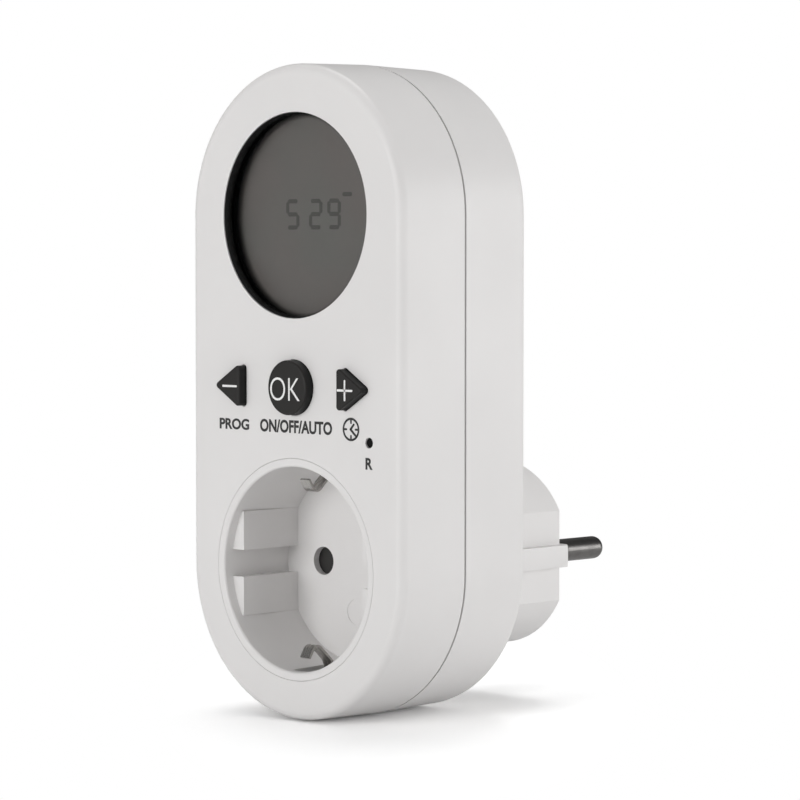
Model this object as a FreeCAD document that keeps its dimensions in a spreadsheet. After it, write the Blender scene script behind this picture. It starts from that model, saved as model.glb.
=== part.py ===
import FreeCAD, Part
import math
import os

import Sketcher
from FreeCAD import Vector

# Plug-in timer switch with a display, three buttons and an earthed round socket.
# Frame: +X to the right of someone facing the display, +Y towards the wall, +Z up.
# The origin is the centre of the plug's face, and the two pins stand out of it along +Y.
# Every depth here, such as FACE or SEAM, is a distance in front of that plug face, along -Y.

doc = FreeCAD.newDocument("TimerSwitch")

# Driving dimensions in millimetres, degrees where the name ends in angle or draft

SIZES = {
    # housing
    "body_width": 60.8,
    "arc_spacing": 70.4,
    "front_shell_depth": 17.4,
    "rear_shell_depth": 18.4,
    "draft_angle": 1.3,
    "edge_round": 1.8,
    "overshoot": 1.0,
    "side_wall": 2.2,
    "front_wall": 2.2,
    "rear_wall": 2.0,
    "seam_gap": 0.5,
    "lip_length": 1.95,
    "lip_inset": 1.1,
    "lip_clearance": 0.1,
    # plug
    "plug_depth": 26.4,
    "plug_radius": 19.4,
    "plug_flat": 17.0,
    "plug_rib_width": 4.5,
    "plug_bevel": 1.9,
    "plug_end_wall": 6.0,
    "plug_cavity_radius": 14.4,
    "pin_radius": 2.4,
    "pin_length": 19.0,
    "pin_spread": 19.0,
    "pin_tip_round": 2.0,
    "pin_fit": 0.02,
    "pin_root_margin": 0.2,
    "pin_root_length": 0.3,
    "pin_collar_radius": 3.4,
    "pin_collar": 1.4,
    "rivet_end_radius": 1.2,
    "rivet_head_radius": 2.0,
    "rivet_head": 0.8,
    # socket cup
    "cup_radius": 22.5,
    "cup_nose_radius": 22.15,
    "cup_nose_length": 1.4,
    "cup_gap": 0.08,
    "recess_radius": 20.0,
    "recess_depth": 17.5,
    "recess_draft": 1.6,
    "recess_round": 0.5,
    "recess_floor": 1.5,
    "guide_setback": 2.2,
    "guide_half_height": 10.6,
    "guide_slot_width": 5.5,
    "pin_hole_radius": 2.9,
    "clip_slot_width": 4.4,
    "clip_slot_start": 1.8,
    "clip_slot_length": 10.4,
    "mould_mark_radius": 2.6,
    "mould_mark_drop": 9.8,
    "mould_mark_depth": 0.12,
    # shutter behind the pin holes
    "shutter_half_width": 13.35,
    "shutter_side_gap": 0.2,
    "shutter_thickness": 2.2,
    "shutter_gap": 0.2,
    "shutter_top": 3.8,
    "shutter_bottom": 11.2,
    "shutter_travel": 6.6,
    "shutter_window_radius": 3.2,
    "spring_notch_depth": 3.0,
    "spring_radius": 0.85,
    "spring_wire_radius": 0.15,
    "spring_turns": 9.0,
    "spring_space": 11.6,
    # contact base and the metal parts
    "base_plate": 1.8,
    "base_ring_radius": 21.4,
    "base_ring_wall": 1.6,
    "base_hole_radius": 3.2,
    "base_notch_width": 7.6,
    "base_notch_depth": 8.0,
    "base_seat_gap": 0.1,
    "contact_bore_radius": 2.45,
    "contact_metal": 0.6,
    "contact_length": 9.0,
    "contact_slit": 1.6,
    "contact_gap": 0.2,
    "strip_metal": 0.8,
    "strip_width": 4.4,
    "line_strip_end": 24.0,
    "strap_metal": 0.5,
    "strap_width": 2.6,
    "strap_bend": 1.4,
    "strap_clearance": 0.35,
    "strap_lift": 3.2,
    "clip_tip_setback": 3.1,
    "clip_tip_height": 17.9,
    "clip_crest_height": 14.8,
    "clip_crest_setback": 1.9,
    "clip_tail_height": 18.8,
    "clip_tail_setback": 6.2,
    "clip_slot_gap": 1.2,
    "earth_bar_height": 16.8,
    "earth_bar_metal": 0.8,
    "earth_bar_width": 5.6,
    "earth_bar_tip": 2.6,
    "earth_slot_clearance": 0.2,
    "earth_rivet_radius": 0.8,
    "earth_rivet_head_radius": 1.5,
    "earth_rivet_head": 0.8,
    # display
    "window_rim": 9.95,
    "lens_clearance": 0.1,
    "lens_recess": 0.2,
    "lens_flange": 0.8,
    "lens_flange_margin": 1.15,
    "display_setback": 3.7,
    "frame_margin": 1.95,
    "frame_margin_below": 4.55,
    "frame_corner": 6.6,
    "lcd_margin": 0.35,
    "lcd_margin_below": 3.55,
    "lcd_corner": 5.0,
    "lcd_clearance": 0.15,
    "lcd_front_glass": 1.3,
    "lcd_rear_glass": 1.5,
    "lcd_ledge": 2.8,
    "backing_inset": 1.6,
    "zebra_width": 2.0,
    "zebra_inset": 2.3,
    # control board and keys
    "board_setback": 10.6,
    "board_thickness": 1.6,
    "board_side_gap": 3.8,
    "board_bottom": 23.2,
    "board_top_gap": 7.4,
    "board_corner": 8.6,
    "board_strap_notch": 3.6,
    "key_height": 36.3,
    "key_raise": 2.0,
    "key_travel": 0.6,
    "key_gap": 0.15,
    "key_wall_gap": 0.2,
    "key_flange": 1.0,
    "key_flange_margin": 1.0,
    "key_edge_round": 0.35,
    "ok_key_radius": 5.45,
    "arrow_inner": 13.85,
    "arrow_outer": 21.3,
    "arrow_half_height": 4.6,
    "arrow_corner_round": 0.7,
    "arrow_flange_round": 0.9,
    "key_stalk_radius": 1.5,
    "switch_side": 6.0,
    "switch_height": 3.5,
    "stem_end_gap": 0.4,
    "stem_radius": 1.75,
    "stem_clearance": 0.1,
    "stem_reach": 1.7,
    "stem_sunk": 1.3,
    "reset_hole_radius": 1.05,
    "reset_offset": 21.1,
    "reset_height": 26.1,
    "reset_setback": 0.6,
    "reset_tip_radius": 0.96,
    "reset_tip_setback": 0.35,
    "arrow_switch_offset": 16.6,
    # parts on the control board
    "chip_radius": 4.5,
    "chip_height": 1.6,
    "chip_edge": 0.2,
    "chip_offset": 7.75,
    "chip_above": 9.0,
    "battery_radius": 6.25,
    "battery_height": 5.4,
    "battery_offset": 9.25,
    "battery_above": 11.25,
    "crystal_radius": 1.05,
    "crystal_length": 6.0,
    "crystal_offset": 12.0,
    "crystal_below": 4.5,
    # power board and its parts
    "power_board_lift": 3.0,
    "power_side_gap": 6.2,
    "power_bottom": 26.0,
    "power_corner": 5.6,
    "relay_width": 15.5,
    "relay_height": 19.0,
    "relay_depth": 15.2,
    "relay_left": 2.0,
    "dropper_width": 8.5,
    "dropper_height": 18.0,
    "dropper_depth": 14.0,
    "dropper_left": 17.0,
    "parts_low": 51.4,
    "smoother_radius": 4.0,
    "smoother_length": 12.0,
    "smoother_offset": 12.0,
    "smoother_above": 8.0,
    "varistor_radius": 5.0,
    "varistor_thickness": 4.0,
    "varistor_offset": 13.0,
    "varistor_height": 40.4,
    "diode_radius": 1.3,
    "diode_length": 5.0,
    "diode_pitch": 3.6,
    "diode_offset": 5.0,
    "diode_height": 29.6,
    "resistor_radius": 2.0,
    "resistor_length": 11.0,
    "resistor_offset": 4.75,
    "resistor_height": 47.4,
    "ribbon_width": 8.0,
    "ribbon_thickness": 0.9,
    "ribbon_bend": 2.0,
    "ribbon_offset": 2.0,
    "ribbon_height": 46.4,
    "ribbon_rise": 2.5,
    "ribbon_end_run": 5.5,
    "part_round": 0.8,
    # wires
    "wire_radius": 1.1,
    "wire_rise": 5.5,
    "wire_bend_ratio": 1.1,
    "wire_start_setback": 9.0,
    "wire_straight": 4.5,
    "wire_slope": 4.0,
    "wire_board_gap": 0.4,
    "live_wire_height": 5.0,
    "live_wire_gap": 0.1,
    # screws and their bosses
    "screw_shank_radius": 1.35,
    "screw_head_radius": 2.5,
    "screw_head": 2.0,
    "screw_seat": 4.0,
    "screw_length": 22.0,
    "screw_clearance": 0.2,
    "pilot_clearance": 0.05,
    "pilot_depth": 10.0,
    "boss_radius": 2.6,
    "boss_base_radius": 3.6,
    "boss_base": 4.0,
    "boss_cup_gap": 0.15,
    "boss_circle_angle": 35.0,
    "boss_side_gap": 3.2,
    "boss_side_height": 42.0,
    "boss_notch_gap": 0.4,
    "board_screw_radius": 0.95,
    "board_screw_head_radius": 1.9,
    "board_screw_head": 1.3,
    "board_screw_length": 5.5,
    "post_radius": 2.2,
    "post_offset": 10.6,
    "post_height": 26.4,
    "power_post_offset": 17.0,
    "power_post_height": 31.0,
    "power_post_top": 88.0,
    "hook_gap": 0.25,
    "hook_width": 7.0,
    "hook_thickness": 1.8,
    "hook_grip": 0.9,
    "hook_nub": 1.2,
}

sheet = doc.addObject("Spreadsheet::Sheet", "Sizes")
for row, (name, value) in enumerate(SIZES.items(), start=1):
    sheet.set("A%d" % row, name)
    sheet.set("B%d" % row, str(value))
    sheet.setAlias("B%d" % row, name)
doc.recompute()


class Size:
    """A length from the sheet or worked out from it: its number and the formula that gives it."""

    def __init__(self, number, formula):
        self.number = float(number)
        self.formula = formula

    def joined(self, other, sign, number):
        return Size(number, "(%s %s %s)" % (self.formula, sign, as_size(other).formula))

    def __add__(self, other):
        return self.joined(other, "+", self.number + as_size(other).number)

    def __sub__(self, other):
        return self.joined(other, "-", self.number - as_size(other).number)

    def __mul__(self, other):
        return self.joined(other, "*", self.number * as_size(other).number)

    def __truediv__(self, other):
        return self.joined(other, "/", self.number / as_size(other).number)

    def __neg__(self):
        return Size(-self.number, "(-1 * %s)" % self.formula)

    def __float__(self):
        return self.number


def as_size(value):
    return value if isinstance(value, Size) else Size(value, repr(float(value)))


def polar(radius, angle):
    """The across and up parts of a radius turned by an angle in degrees."""
    turn = math.radians(float(angle))
    parts = (radius.formula, angle.formula)
    across = Size(float(radius) * math.cos(turn), "(%s * cos(%s * 1 deg))" % parts)
    up = Size(float(radius) * math.sin(turn), "(%s * sin(%s * 1 deg))" % parts)
    return across, up


class Sheet:
    """Gives each named size of the sheet as an attribute."""

    def __getattr__(self, name):
        return Size(sheet.get(name), "Sizes." + name)


S = Sheet()
ZERO = as_size(0)

# Depths in front of the plug face

REAR = S.plug_depth
SEAM = REAR + S.rear_shell_depth
FACE = SEAM + S.front_shell_depth
FRONT_INSIDE = FACE - S.front_wall
REAR_INSIDE = REAR + S.rear_wall
FLOOR = FACE - S.recess_depth
FLOOR_BACK = FLOOR - S.recess_floor
CHAMBER_BACK = FLOOR_BACK - S.shutter_thickness - S.shutter_gap * 2
BASE_BACK = CHAMBER_BACK - S.base_plate
LCD_FRONT = FACE - S.display_setback
LCD_MIDDLE = LCD_FRONT - S.lcd_front_glass
LCD_BACK = LCD_MIDDLE - S.lcd_rear_glass
BOARD_FRONT = FACE - S.board_setback
BOARD_BACK = BOARD_FRONT - S.board_thickness
SWITCH_TOP = BOARD_FRONT + S.switch_height
POWER_BACK = REAR_INSIDE + S.power_board_lift
POWER_FRONT = POWER_BACK + S.board_thickness
BODY_RADIUS = S.body_width / 2
INNER_RADIUS = BODY_RADIUS - S.side_wall
WINDOW_RADIUS = BODY_RADIUS - S.window_rim
BOARD_HALF = INNER_RADIUS - S.board_side_gap
BOARD_TOP = S.arc_spacing + INNER_RADIUS - S.board_top_gap
PIN_X = S.pin_spread / 2


def bind(thing, prop, value):
    thing.setExpression(prop, as_size(value).formula)


class Outline:
    """A sketch on one of a body's origin planes, every point held by the named sizes."""

    def __init__(self, owner, plane, offset):
        body = owner.body
        count = len([item for item in body.Group if item.TypeId == "Sketcher::SketchObject"])
        self.sketch = body.newObject("Sketcher::SketchObject", "%s_outline%d" % (owner.label, count))
        planes = {item.Role: item for item in body.Origin.OriginFeatures}
        self.sketch.AttachmentSupport = (planes[plane], "")
        self.sketch.MapMode = "FlatFace"
        bind(self.sketch, "AttachmentOffset.Base.z", offset)

    def hold(self, kind, numbers, value):
        index = self.sketch.addConstraint(Sketcher.Constraint(kind, *numbers, float(value)))
        bind(self.sketch, "Constraints[%d]" % index, value)

    def place(self, geometry, point, across, up):
        """Ties one point of the sketch to its distances from the origin."""
        for value, kind, axis in ((across, "DistanceX", -2), (up, "DistanceY", -1)):
            value = as_size(value)
            if value.number == 0:
                self.sketch.addConstraint(Sketcher.Constraint("PointOnObject", geometry, point, axis))
            else:
                self.hold(kind, (-1, 1, geometry, point), value)

    def circle(self, across, up, radius):
        centre = Vector(float(across), float(up), 0)
        ring = self.sketch.addGeometry(Part.Circle(centre, Vector(0, 0, 1), float(radius)), False)
        self.place(ring, 3, across, up)
        self.hold("Radius", (ring,), radius)
        return self

    def polygon(self, points):
        flat = [Vector(float(a), float(b), 0) for a, b in points]
        ends = flat[1:] + flat[:1]
        lines = [self.sketch.addGeometry(Part.LineSegment(p, q), False) for p, q in zip(flat, ends)]
        for line, following in zip(lines, lines[1:] + lines[:1]):
            self.sketch.addConstraint(Sketcher.Constraint("Coincident", line, 2, following, 1))
        for line, (across, up) in zip(lines, points):
            self.place(line, 1, across, up)
        return self

    def box(self, left, right, low, high):
        return self.polygon([(left, low), (right, low), (right, high), (left, high)])

    def stadium(self, radius, spacing):
        """Two half circles, the lower one round the origin, joined by upright sides."""
        r, gap = float(radius), float(spacing)
        up = Vector(0, 0, 1)
        low = Part.ArcOfCircle(Part.Circle(Vector(0, 0, 0), up, r), math.pi, 2 * math.pi)
        high = Part.ArcOfCircle(Part.Circle(Vector(0, gap, 0), up, r), 0, math.pi)
        right = Part.LineSegment(Vector(r, 0, 0), Vector(r, gap, 0))
        left = Part.LineSegment(Vector(-r, gap, 0), Vector(-r, 0, 0))
        low, right, high, left = [self.sketch.addGeometry(item, False) for item in (low, right, high, left)]
        for first, second in ((low, right), (right, high), (high, left), (left, low)):
            self.sketch.addConstraint(Sketcher.Constraint("Tangent", first, 2, second, 1))
        self.sketch.addConstraint(Sketcher.Constraint("Coincident", low, 3, -1, 1))
        self.place(high, 3, ZERO, spacing)
        self.hold("Radius", (low,), radius)
        self.hold("Radius", (high,), radius)
        return self


class Piece:
    """One sub-part as a parametric body."""

    def __init__(self, label, several=False):
        self.label = label
        self.body = doc.addObject("PartDesign::Body", label)
        self.body.Label = label
        self.body.AllowCompound = several
        self.count = 0

    def outline(self, depth, plane="XZ_Plane"):
        return Outline(self, plane, depth)

    def feature(self, kind, name):
        self.count += 1
        return self.body.newObject("PartDesign::" + kind, "%s_%s%d" % (self.label, name, self.count))

    def extrude(self, kind, outline, length, tapered, backward, taper=None):
        before = 0.0 if self.body.Tip is None else self.body.Shape.Volume
        step = self.feature(kind, kind.lower())
        step.Profile = outline.sketch
        bind(step, "Length", length)
        # a pad grows towards the front, and a pocket is turned to cut towards the front too
        step.Reversed = (kind == "Pocket") != backward
        if tapered or taper:
            bind(step, "TaperAngle", taper or -S.draft_angle)
        doc.recompute()
        change = self.body.Shape.Volume - before
        if (change <= 0) if kind == "Pad" else (change >= 0):
            raise ValueError("%s changed nothing in %s" % (step.Name, self.label))
        return self

    def pad(self, outline, length, tapered=False, backward=False):
        return self.extrude("Pad", outline, length, tapered, backward)

    def cut(self, outline, length, tapered=False, backward=False, taper=None):
        return self.extrude("Pocket", outline, length, tapered, backward, taper)

    def soften(self, kind, amount, chosen):
        """Rounds or bevels each edge for which chosen(edge) is true."""
        base = self.body.Tip
        names = ["Edge%d" % (i + 1) for i, edge in enumerate(base.Shape.Edges) if chosen(edge)]
        if not names:
            raise ValueError("no edge to soften in " + self.label)
        step = self.feature(kind, kind.lower())
        step.Base = (base, names)
        bind(step, "Radius" if kind == "Fillet" else "Size", amount)
        doc.recompute()
        return self

    def round(self, amount, chosen):
        return self.soften("Fillet", amount, chosen)

    def bevel(self, amount, chosen):
        return self.soften("Chamfer", amount, chosen)


def near(a, b):
    return abs(float(a) - float(b)) < 1e-4


def at_depth(depth):
    """Chooses edges that lie flat at one depth."""
    def chosen(edge):
        box = edge.BoundBox
        return near(box.YMin, -float(depth)) and near(box.YMax, -float(depth))
    return chosen


def along_depth(low, high):
    """Chooses straight edges that run from one depth to the other."""
    def chosen(edge):
        box = edge.BoundBox
        straight = near(box.XMin, box.XMax) and near(box.ZMin, box.ZMax)
        return straight and near(box.YMin, -float(high)) and near(box.YMax, -float(low))
    return chosen


def circle_at(depth, radius):
    """Chooses the round edges of one radius that lie flat at one depth."""
    def chosen(edge):
        return at_depth(depth)(edge) and hasattr(edge.Curve, "Radius") and near(edge.Curve.Radius, radius)
    return chosen


def shaped(label, shape):
    """A sub-part whose shape is worked out here from the named sizes."""
    item = doc.addObject("Part::Feature", label)
    item.Label = label
    place = shape.Placement
    item.Shape = shape
    item.Placement = place
    return item


def point(across, depth, up):
    """A place given by its distance to the right, in front of the plug face and up."""
    return Vector(float(across), -float(depth), float(up))


def rounded_path(points, radius):
    """Straight runs through the points, joined by tangent arcs."""
    edges = []
    start = points[0]
    for before, corner, after in zip(points, points[1:], points[2:]):
        into = (corner - before).normalize()
        out = (after - corner).normalize()
        turn = into.getAngle(out)
        reach = radius * math.tan(turn / 2)
        first = corner - into * reach
        last = corner + out * reach
        middle = corner + (out - into).normalize() * (radius / math.cos(turn / 2) - radius)
        edges.append(Part.LineSegment(start, first).toShape())
        edges.append(Part.Arc(first, middle, last).toShape())
        start = last
    edges.append(Part.LineSegment(start, points[-1]).toShape())
    return Part.Wire(edges)


def swept_strip(points, bend, metal, width, across):
    """A flat strip bent along the points, its width lying along the direction given."""
    path = rounded_path(points, bend)
    along = (points[1] - points[0]).normalize()
    side = along.cross(across).normalize() * (metal / 2)
    half = Vector(across).normalize() * (width / 2)
    corners = [points[0] + a * i + b * j for a, i, b, j in (
        (side, 1, half, 1), (side, 1, half, -1), (side, -1, half, -1), (side, -1, half, 1))]
    profile = Part.makePolygon(corners + corners[:1])
    return path.makePipeShell([profile], True, False)


def swept_wire(points, bend, radius):
    path = rounded_path(points, bend)
    along = (points[1] - points[0]).normalize()
    ring = Part.Wire([Part.Circle(points[0], along, radius).toShape()])
    return path.makePipeShell([ring], True, False)


def rod(start, end, radius):
    return Part.makeCylinder(radius, (end - start).Length, start, end - start)


# Places of the screws, each across and up from the socket's centre

boss_across, boss_down = polar(S.cup_radius + S.boss_cup_gap + S.boss_radius, S.boss_circle_angle - 90)
boss_side = INNER_RADIUS - S.boss_side_gap
BOSSES = [
    (ZERO, S.arc_spacing + boss_side),
    (-boss_side, S.boss_side_height),
    (boss_side, S.boss_side_height),
    (-boss_across, boss_down),
    (boss_across, boss_down),
]
FRONT_POSTS = [(-S.post_offset, S.post_height), (S.post_offset, S.post_height)]
REAR_POSTS = [
    (-S.power_post_offset, S.power_post_height),
    (S.power_post_offset, S.power_post_height),
    (ZERO, S.power_post_top),
]


def circles(outline, places, radius):
    for across, up in places:
        outline.circle(across, up, radius)
    return outline


def arrow(outline, side, grow):
    """A triangle that points away from the middle key, grown evenly by the amount given."""
    reach = (S.arrow_outer - S.arrow_inner).number
    half = S.arrow_half_height.number
    slant = math.hypot(reach, half)
    tip = S.arrow_outer + grow * (slant / half)
    base = S.arrow_inner - grow
    tall = S.arrow_half_height + grow * ((reach + slant) / reach)
    if side < 0:
        tip, base = -tip, -base
    return outline.polygon([(base, S.key_height - tall), (tip, S.key_height), (base, S.key_height + tall)])


# Front shell: the drafted front half of the housing, with its windows, bosses and hooks

front = Piece("front_shell")
front_start = SEAM + S.seam_gap / 2
front_length = FACE - front_start
front.pad(front.outline(front_start).stadium(BODY_RADIUS, S.arc_spacing), front_length, tapered=True)
front.round(S.edge_round, at_depth(FACE))
hollow = front.outline(front_start).stadium(INNER_RADIUS, S.arc_spacing)
front.cut(hollow, front_length - S.front_wall, tapered=True)
rebate = front.outline(front_start).stadium(BODY_RADIUS - S.lip_inset + S.lip_clearance, S.arc_spacing)
front.cut(rebate, S.lip_length - S.seam_gap / 2)
front.cut(front.outline(FRONT_INSIDE).circle(ZERO, S.arc_spacing, WINDOW_RADIUS), S.front_wall)
front.cut(front.outline(FRONT_INSIDE).circle(ZERO, ZERO, S.cup_nose_radius + S.cup_gap), S.front_wall)
cup_step = front.outline(FRONT_INSIDE).circle(ZERO, ZERO, S.cup_radius + S.cup_gap)
front.cut(cup_step, S.front_wall - S.cup_nose_length + S.key_wall_gap / 2)
front.cut(front.outline(FRONT_INSIDE).circle(ZERO, S.key_height, S.ok_key_radius + S.key_gap), S.front_wall)
reset_hole = front.outline(FRONT_INSIDE).circle(S.reset_offset, S.reset_height, S.reset_hole_radius)
front.cut(reset_hole, S.front_wall)
for side in (-1, 1):
    front.cut(arrow(front.outline(FRONT_INSIDE), side, S.key_gap), S.front_wall)


def arrow_hole_corner(edge):
    box = edge.BoundBox
    upright = along_depth(FRONT_INSIDE, FACE)(edge)
    return upright and abs(box.ZMin - float(S.key_height)) < float(S.arrow_half_height) * 2


front.round(S.arrow_corner_round + S.key_gap, arrow_hole_corner)
front.pad(circles(front.outline(SEAM), BOSSES, S.boss_radius), FRONT_INSIDE - SEAM)
pilots = circles(front.outline(SEAM), BOSSES, S.screw_shank_radius + S.pilot_clearance)
front.cut(pilots, S.pilot_depth)
front.pad(circles(front.outline(BOARD_FRONT), FRONT_POSTS, S.post_radius), S.board_setback - S.front_wall)
pilots = circles(front.outline(BOARD_FRONT), FRONT_POSTS, S.board_screw_radius + S.pilot_clearance)
front.cut(pilots, S.board_screw_length)
hook_inner = BOARD_HALF + S.hook_gap
hook_outer = hook_inner + S.hook_thickness
hook_low = S.arc_spacing - S.hook_width / 2
hook_high = S.arc_spacing + S.hook_width / 2
nub_front = BOARD_BACK - S.pilot_clearance * 2
nub_back = nub_front - S.hook_nub
arms = front.outline(nub_back)
nubs = front.outline(nub_back)
for side in (-1, 1):
    arms.box(hook_inner * side, hook_outer * side, hook_low, hook_high)
    nubs.box((BOARD_HALF - S.hook_grip) * side, hook_outer * side, hook_low, hook_high)
front.pad(arms, FRONT_INSIDE - nub_back)
front.pad(nubs, S.hook_nub)

# Rear shell: the rear half of the housing with the plug moulded onto it

rear = Piece("rear_shell")
rear_start = SEAM - S.seam_gap / 2
rear_length = rear_start - REAR
rear_outside = rear.outline(rear_start).stadium(BODY_RADIUS, S.arc_spacing)
rear.pad(rear_outside, rear_length, tapered=True, backward=True)
rear.round(S.edge_round, at_depth(REAR))
rear.pad(rear.outline(REAR).circle(ZERO, ZERO, S.plug_radius), S.plug_depth, backward=True)
rear.bevel(S.plug_bevel, circle_at(ZERO, S.plug_radius))
flats = rear.outline(ZERO)
plug_outer = S.plug_radius + S.overshoot
for side in (-1, 1):
    for half in (-1, 1):
        flats.box(S.plug_flat * side, plug_outer * side, S.plug_rib_width / 2 * half, S.plug_radius * half)
rear.cut(flats, S.plug_depth)


def flat_end(edge):
    box = edge.BoundBox
    return at_depth(ZERO)(edge) and near(box.XMin, box.XMax) and near(abs(box.XMin), S.plug_flat)


rear.bevel(S.plug_bevel, flat_end)
hollow = rear.outline(rear_start).stadium(INNER_RADIUS, S.arc_spacing)
rear.cut(hollow, rear_start - REAR_INSIDE, tapered=True, backward=True)
cavity = rear.outline(S.plug_end_wall).circle(ZERO, ZERO, S.plug_cavity_radius)
rear.cut(cavity, REAR_INSIDE - S.plug_end_wall)
lip = rear.outline(rear_start).stadium(BODY_RADIUS - S.lip_inset, S.arc_spacing)
lip.stadium(INNER_RADIUS, S.arc_spacing)
rear.pad(lip, S.lip_length)
pins = [(-PIN_X, ZERO), (PIN_X, ZERO)]
pin_root = S.pin_radius + S.pin_root_margin
rear.cut(circles(rear.outline(ZERO), pins, pin_root + S.pin_fit), S.plug_end_wall)
earth_slots = rear.outline(ZERO)
earth_inner = S.earth_bar_height - S.earth_bar_metal / 2 - S.earth_slot_clearance
earth_outer = S.earth_bar_height + S.earth_bar_metal / 2 + S.earth_slot_clearance
earth_half = S.earth_bar_width / 2 + S.earth_slot_clearance
for half in (-1, 1):
    earth_slots.box(-earth_half, earth_half, earth_inner * half, plug_outer * half)
rear.cut(earth_slots, REAR - S.rear_wall)
earth_ways = rear.outline(REAR - S.rear_wall)
for half in (-1, 1):
    earth_ways.box(-earth_half, earth_half, earth_inner * half, earth_outer * half)
rear.cut(earth_ways, S.rear_wall * 2)
rear.pad(circles(rear.outline(REAR_INSIDE), BOSSES, S.boss_base_radius), S.boss_base)
rear.pad(circles(rear.outline(REAR_INSIDE), BOSSES, S.boss_radius), SEAM - REAR_INSIDE)
rear.cut(circles(rear.outline(REAR), BOSSES, S.screw_head_radius + S.screw_clearance), S.screw_seat)
rear.cut(circles(rear.outline(REAR), BOSSES, S.screw_shank_radius + S.screw_clearance), SEAM - REAR)
rear.pad(circles(rear.outline(REAR_INSIDE), REAR_POSTS, S.post_radius), S.power_board_lift)
pilot_end = POWER_FRONT - S.board_screw_length - S.screw_clearance
pilots = circles(rear.outline(pilot_end), REAR_POSTS, S.board_screw_radius + S.pilot_clearance)
rear.cut(pilots, POWER_BACK - pilot_end)

# Socket cup: the round recess with guide blocks, pin holes and the slots for the earth clips

cup = Piece("socket_cup")
nose_start = FACE - S.cup_nose_length
cup.pad(cup.outline(CHAMBER_BACK).circle(ZERO, ZERO, S.cup_radius), nose_start - CHAMBER_BACK)
cup.pad(cup.outline(nose_start).circle(ZERO, ZERO, S.cup_nose_radius), S.cup_nose_length)
cup.cut(cup.outline(FLOOR).circle(ZERO, ZERO, S.recess_radius), S.recess_depth, taper=S.recess_draft)
recess_slope = math.tan(math.radians(float(S.recess_draft)))
mouth_radius = float(S.recess_radius) + float(S.recess_depth) * recess_slope
cup.round(S.recess_round, circle_at(FACE, mouth_radius))
blocks = cup.outline(FLOOR)
for side in (-1, 1):
    for half in (-1, 1):
        blocks.box(S.plug_flat * side, (S.recess_radius + S.recess_round) * side,
                   S.guide_slot_width / 2 * half, S.guide_half_height * half)
cup.pad(blocks, S.recess_depth - S.guide_setback)
cup.cut(circles(cup.outline(FLOOR_BACK), pins, S.pin_hole_radius), S.recess_floor)
slots = cup.outline(FACE - S.clip_slot_start)
slot_half = S.clip_slot_width / 2
slot_inner = S.recess_radius - S.overshoot
slot_outer = S.cup_radius + S.overshoot
for half in (-1, 1):
    slots.box(-slot_half, slot_half, slot_inner * half, slot_outer * half)
cup.cut(slots, S.clip_slot_length, backward=True)
mould_mark = cup.outline(FLOOR).circle(ZERO, -S.mould_mark_drop, S.mould_mark_radius)
cup.cut(mould_mark, S.mould_mark_depth, backward=True)
chamber_side = S.shutter_half_width + S.shutter_side_gap
chamber_low = -S.shutter_bottom - S.shutter_gap
chamber_high = S.shutter_top + S.spring_space
chamber = cup.outline(CHAMBER_BACK).box(-chamber_side, chamber_side, chamber_low, chamber_high)
cup.cut(chamber, FLOOR_BACK - CHAMBER_BACK)

# Contact base: the plate behind the shutter, with a ring that bears on the rear shell

base = Piece("contact_base")
ring_back = REAR_INSIDE + S.base_seat_gap
base.pad(base.outline(BASE_BACK).circle(ZERO, ZERO, S.cup_radius), S.base_plate)
ring = base.outline(ring_back).circle(ZERO, ZERO, S.base_ring_radius)
ring.circle(ZERO, ZERO, S.base_ring_radius - S.base_ring_wall)
base.pad(ring, BASE_BACK - ring_back)
base.cut(circles(base.outline(BASE_BACK), pins, S.base_hole_radius), S.base_plate)
notches = base.outline(ring_back)
notch_half = S.base_notch_width / 2
ring_middle = S.base_ring_radius / 2
ring_outer = S.base_ring_radius + S.overshoot
for half in (-1, 1):
    notches.box(-notch_half, notch_half, ring_middle * half, ring_outer * half)
wire_notch_inner = PIN_X - S.wire_radius * 3
wire_notch_outer = PIN_X + S.wire_radius * 4
for side in (-1, 1):
    notches.box(wire_notch_inner * side, wire_notch_outer * side, ring_middle, ring_outer)
base.cut(notches, S.base_notch_depth)

# Shutter that closes the pin holes, and the spring that returns it

shutter = Piece("shutter")
shutter_back = CHAMBER_BACK + S.shutter_gap
plate_half = S.shutter_half_width
plate = shutter.outline(shutter_back).box(-plate_half, plate_half, -S.shutter_bottom, S.shutter_top)
shutter.pad(plate, S.shutter_thickness)
windows = [(-PIN_X, -S.shutter_travel), (PIN_X, -S.shutter_travel)]
shutter.cut(circles(shutter.outline(shutter_back), windows, S.shutter_window_radius), S.shutter_thickness)
notch_half = S.spring_radius + S.spring_wire_radius + S.shutter_gap * 2
notch_low = S.shutter_top - S.spring_notch_depth
notch = shutter.outline(shutter_back).box(-notch_half, notch_half, notch_low, S.shutter_top)
shutter.cut(notch, S.shutter_thickness)

spring_low = float(notch_low + S.spring_wire_radius)
spring_high = float(chamber_high - S.spring_wire_radius)
spring_depth = float(shutter_back + S.shutter_thickness / 2)
helix = Part.makeHelix((spring_high - spring_low) / float(S.spring_turns), spring_high - spring_low,
                       float(S.spring_radius))
coil_start = Vector(float(S.spring_radius), 0, 0)
coil_ring = Part.Wire([Part.Circle(coil_start, Vector(0, 1, 0), float(S.spring_wire_radius)).toShape()])
coil = Part.Wire(helix.Edges).makePipeShell([coil_ring], True, True)
coil.translate(Vector(0, -spring_depth, spring_low))
shaped("shutter_spring", coil)

# Spring contacts of the socket: a slit sleeve round each pin's place

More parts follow.
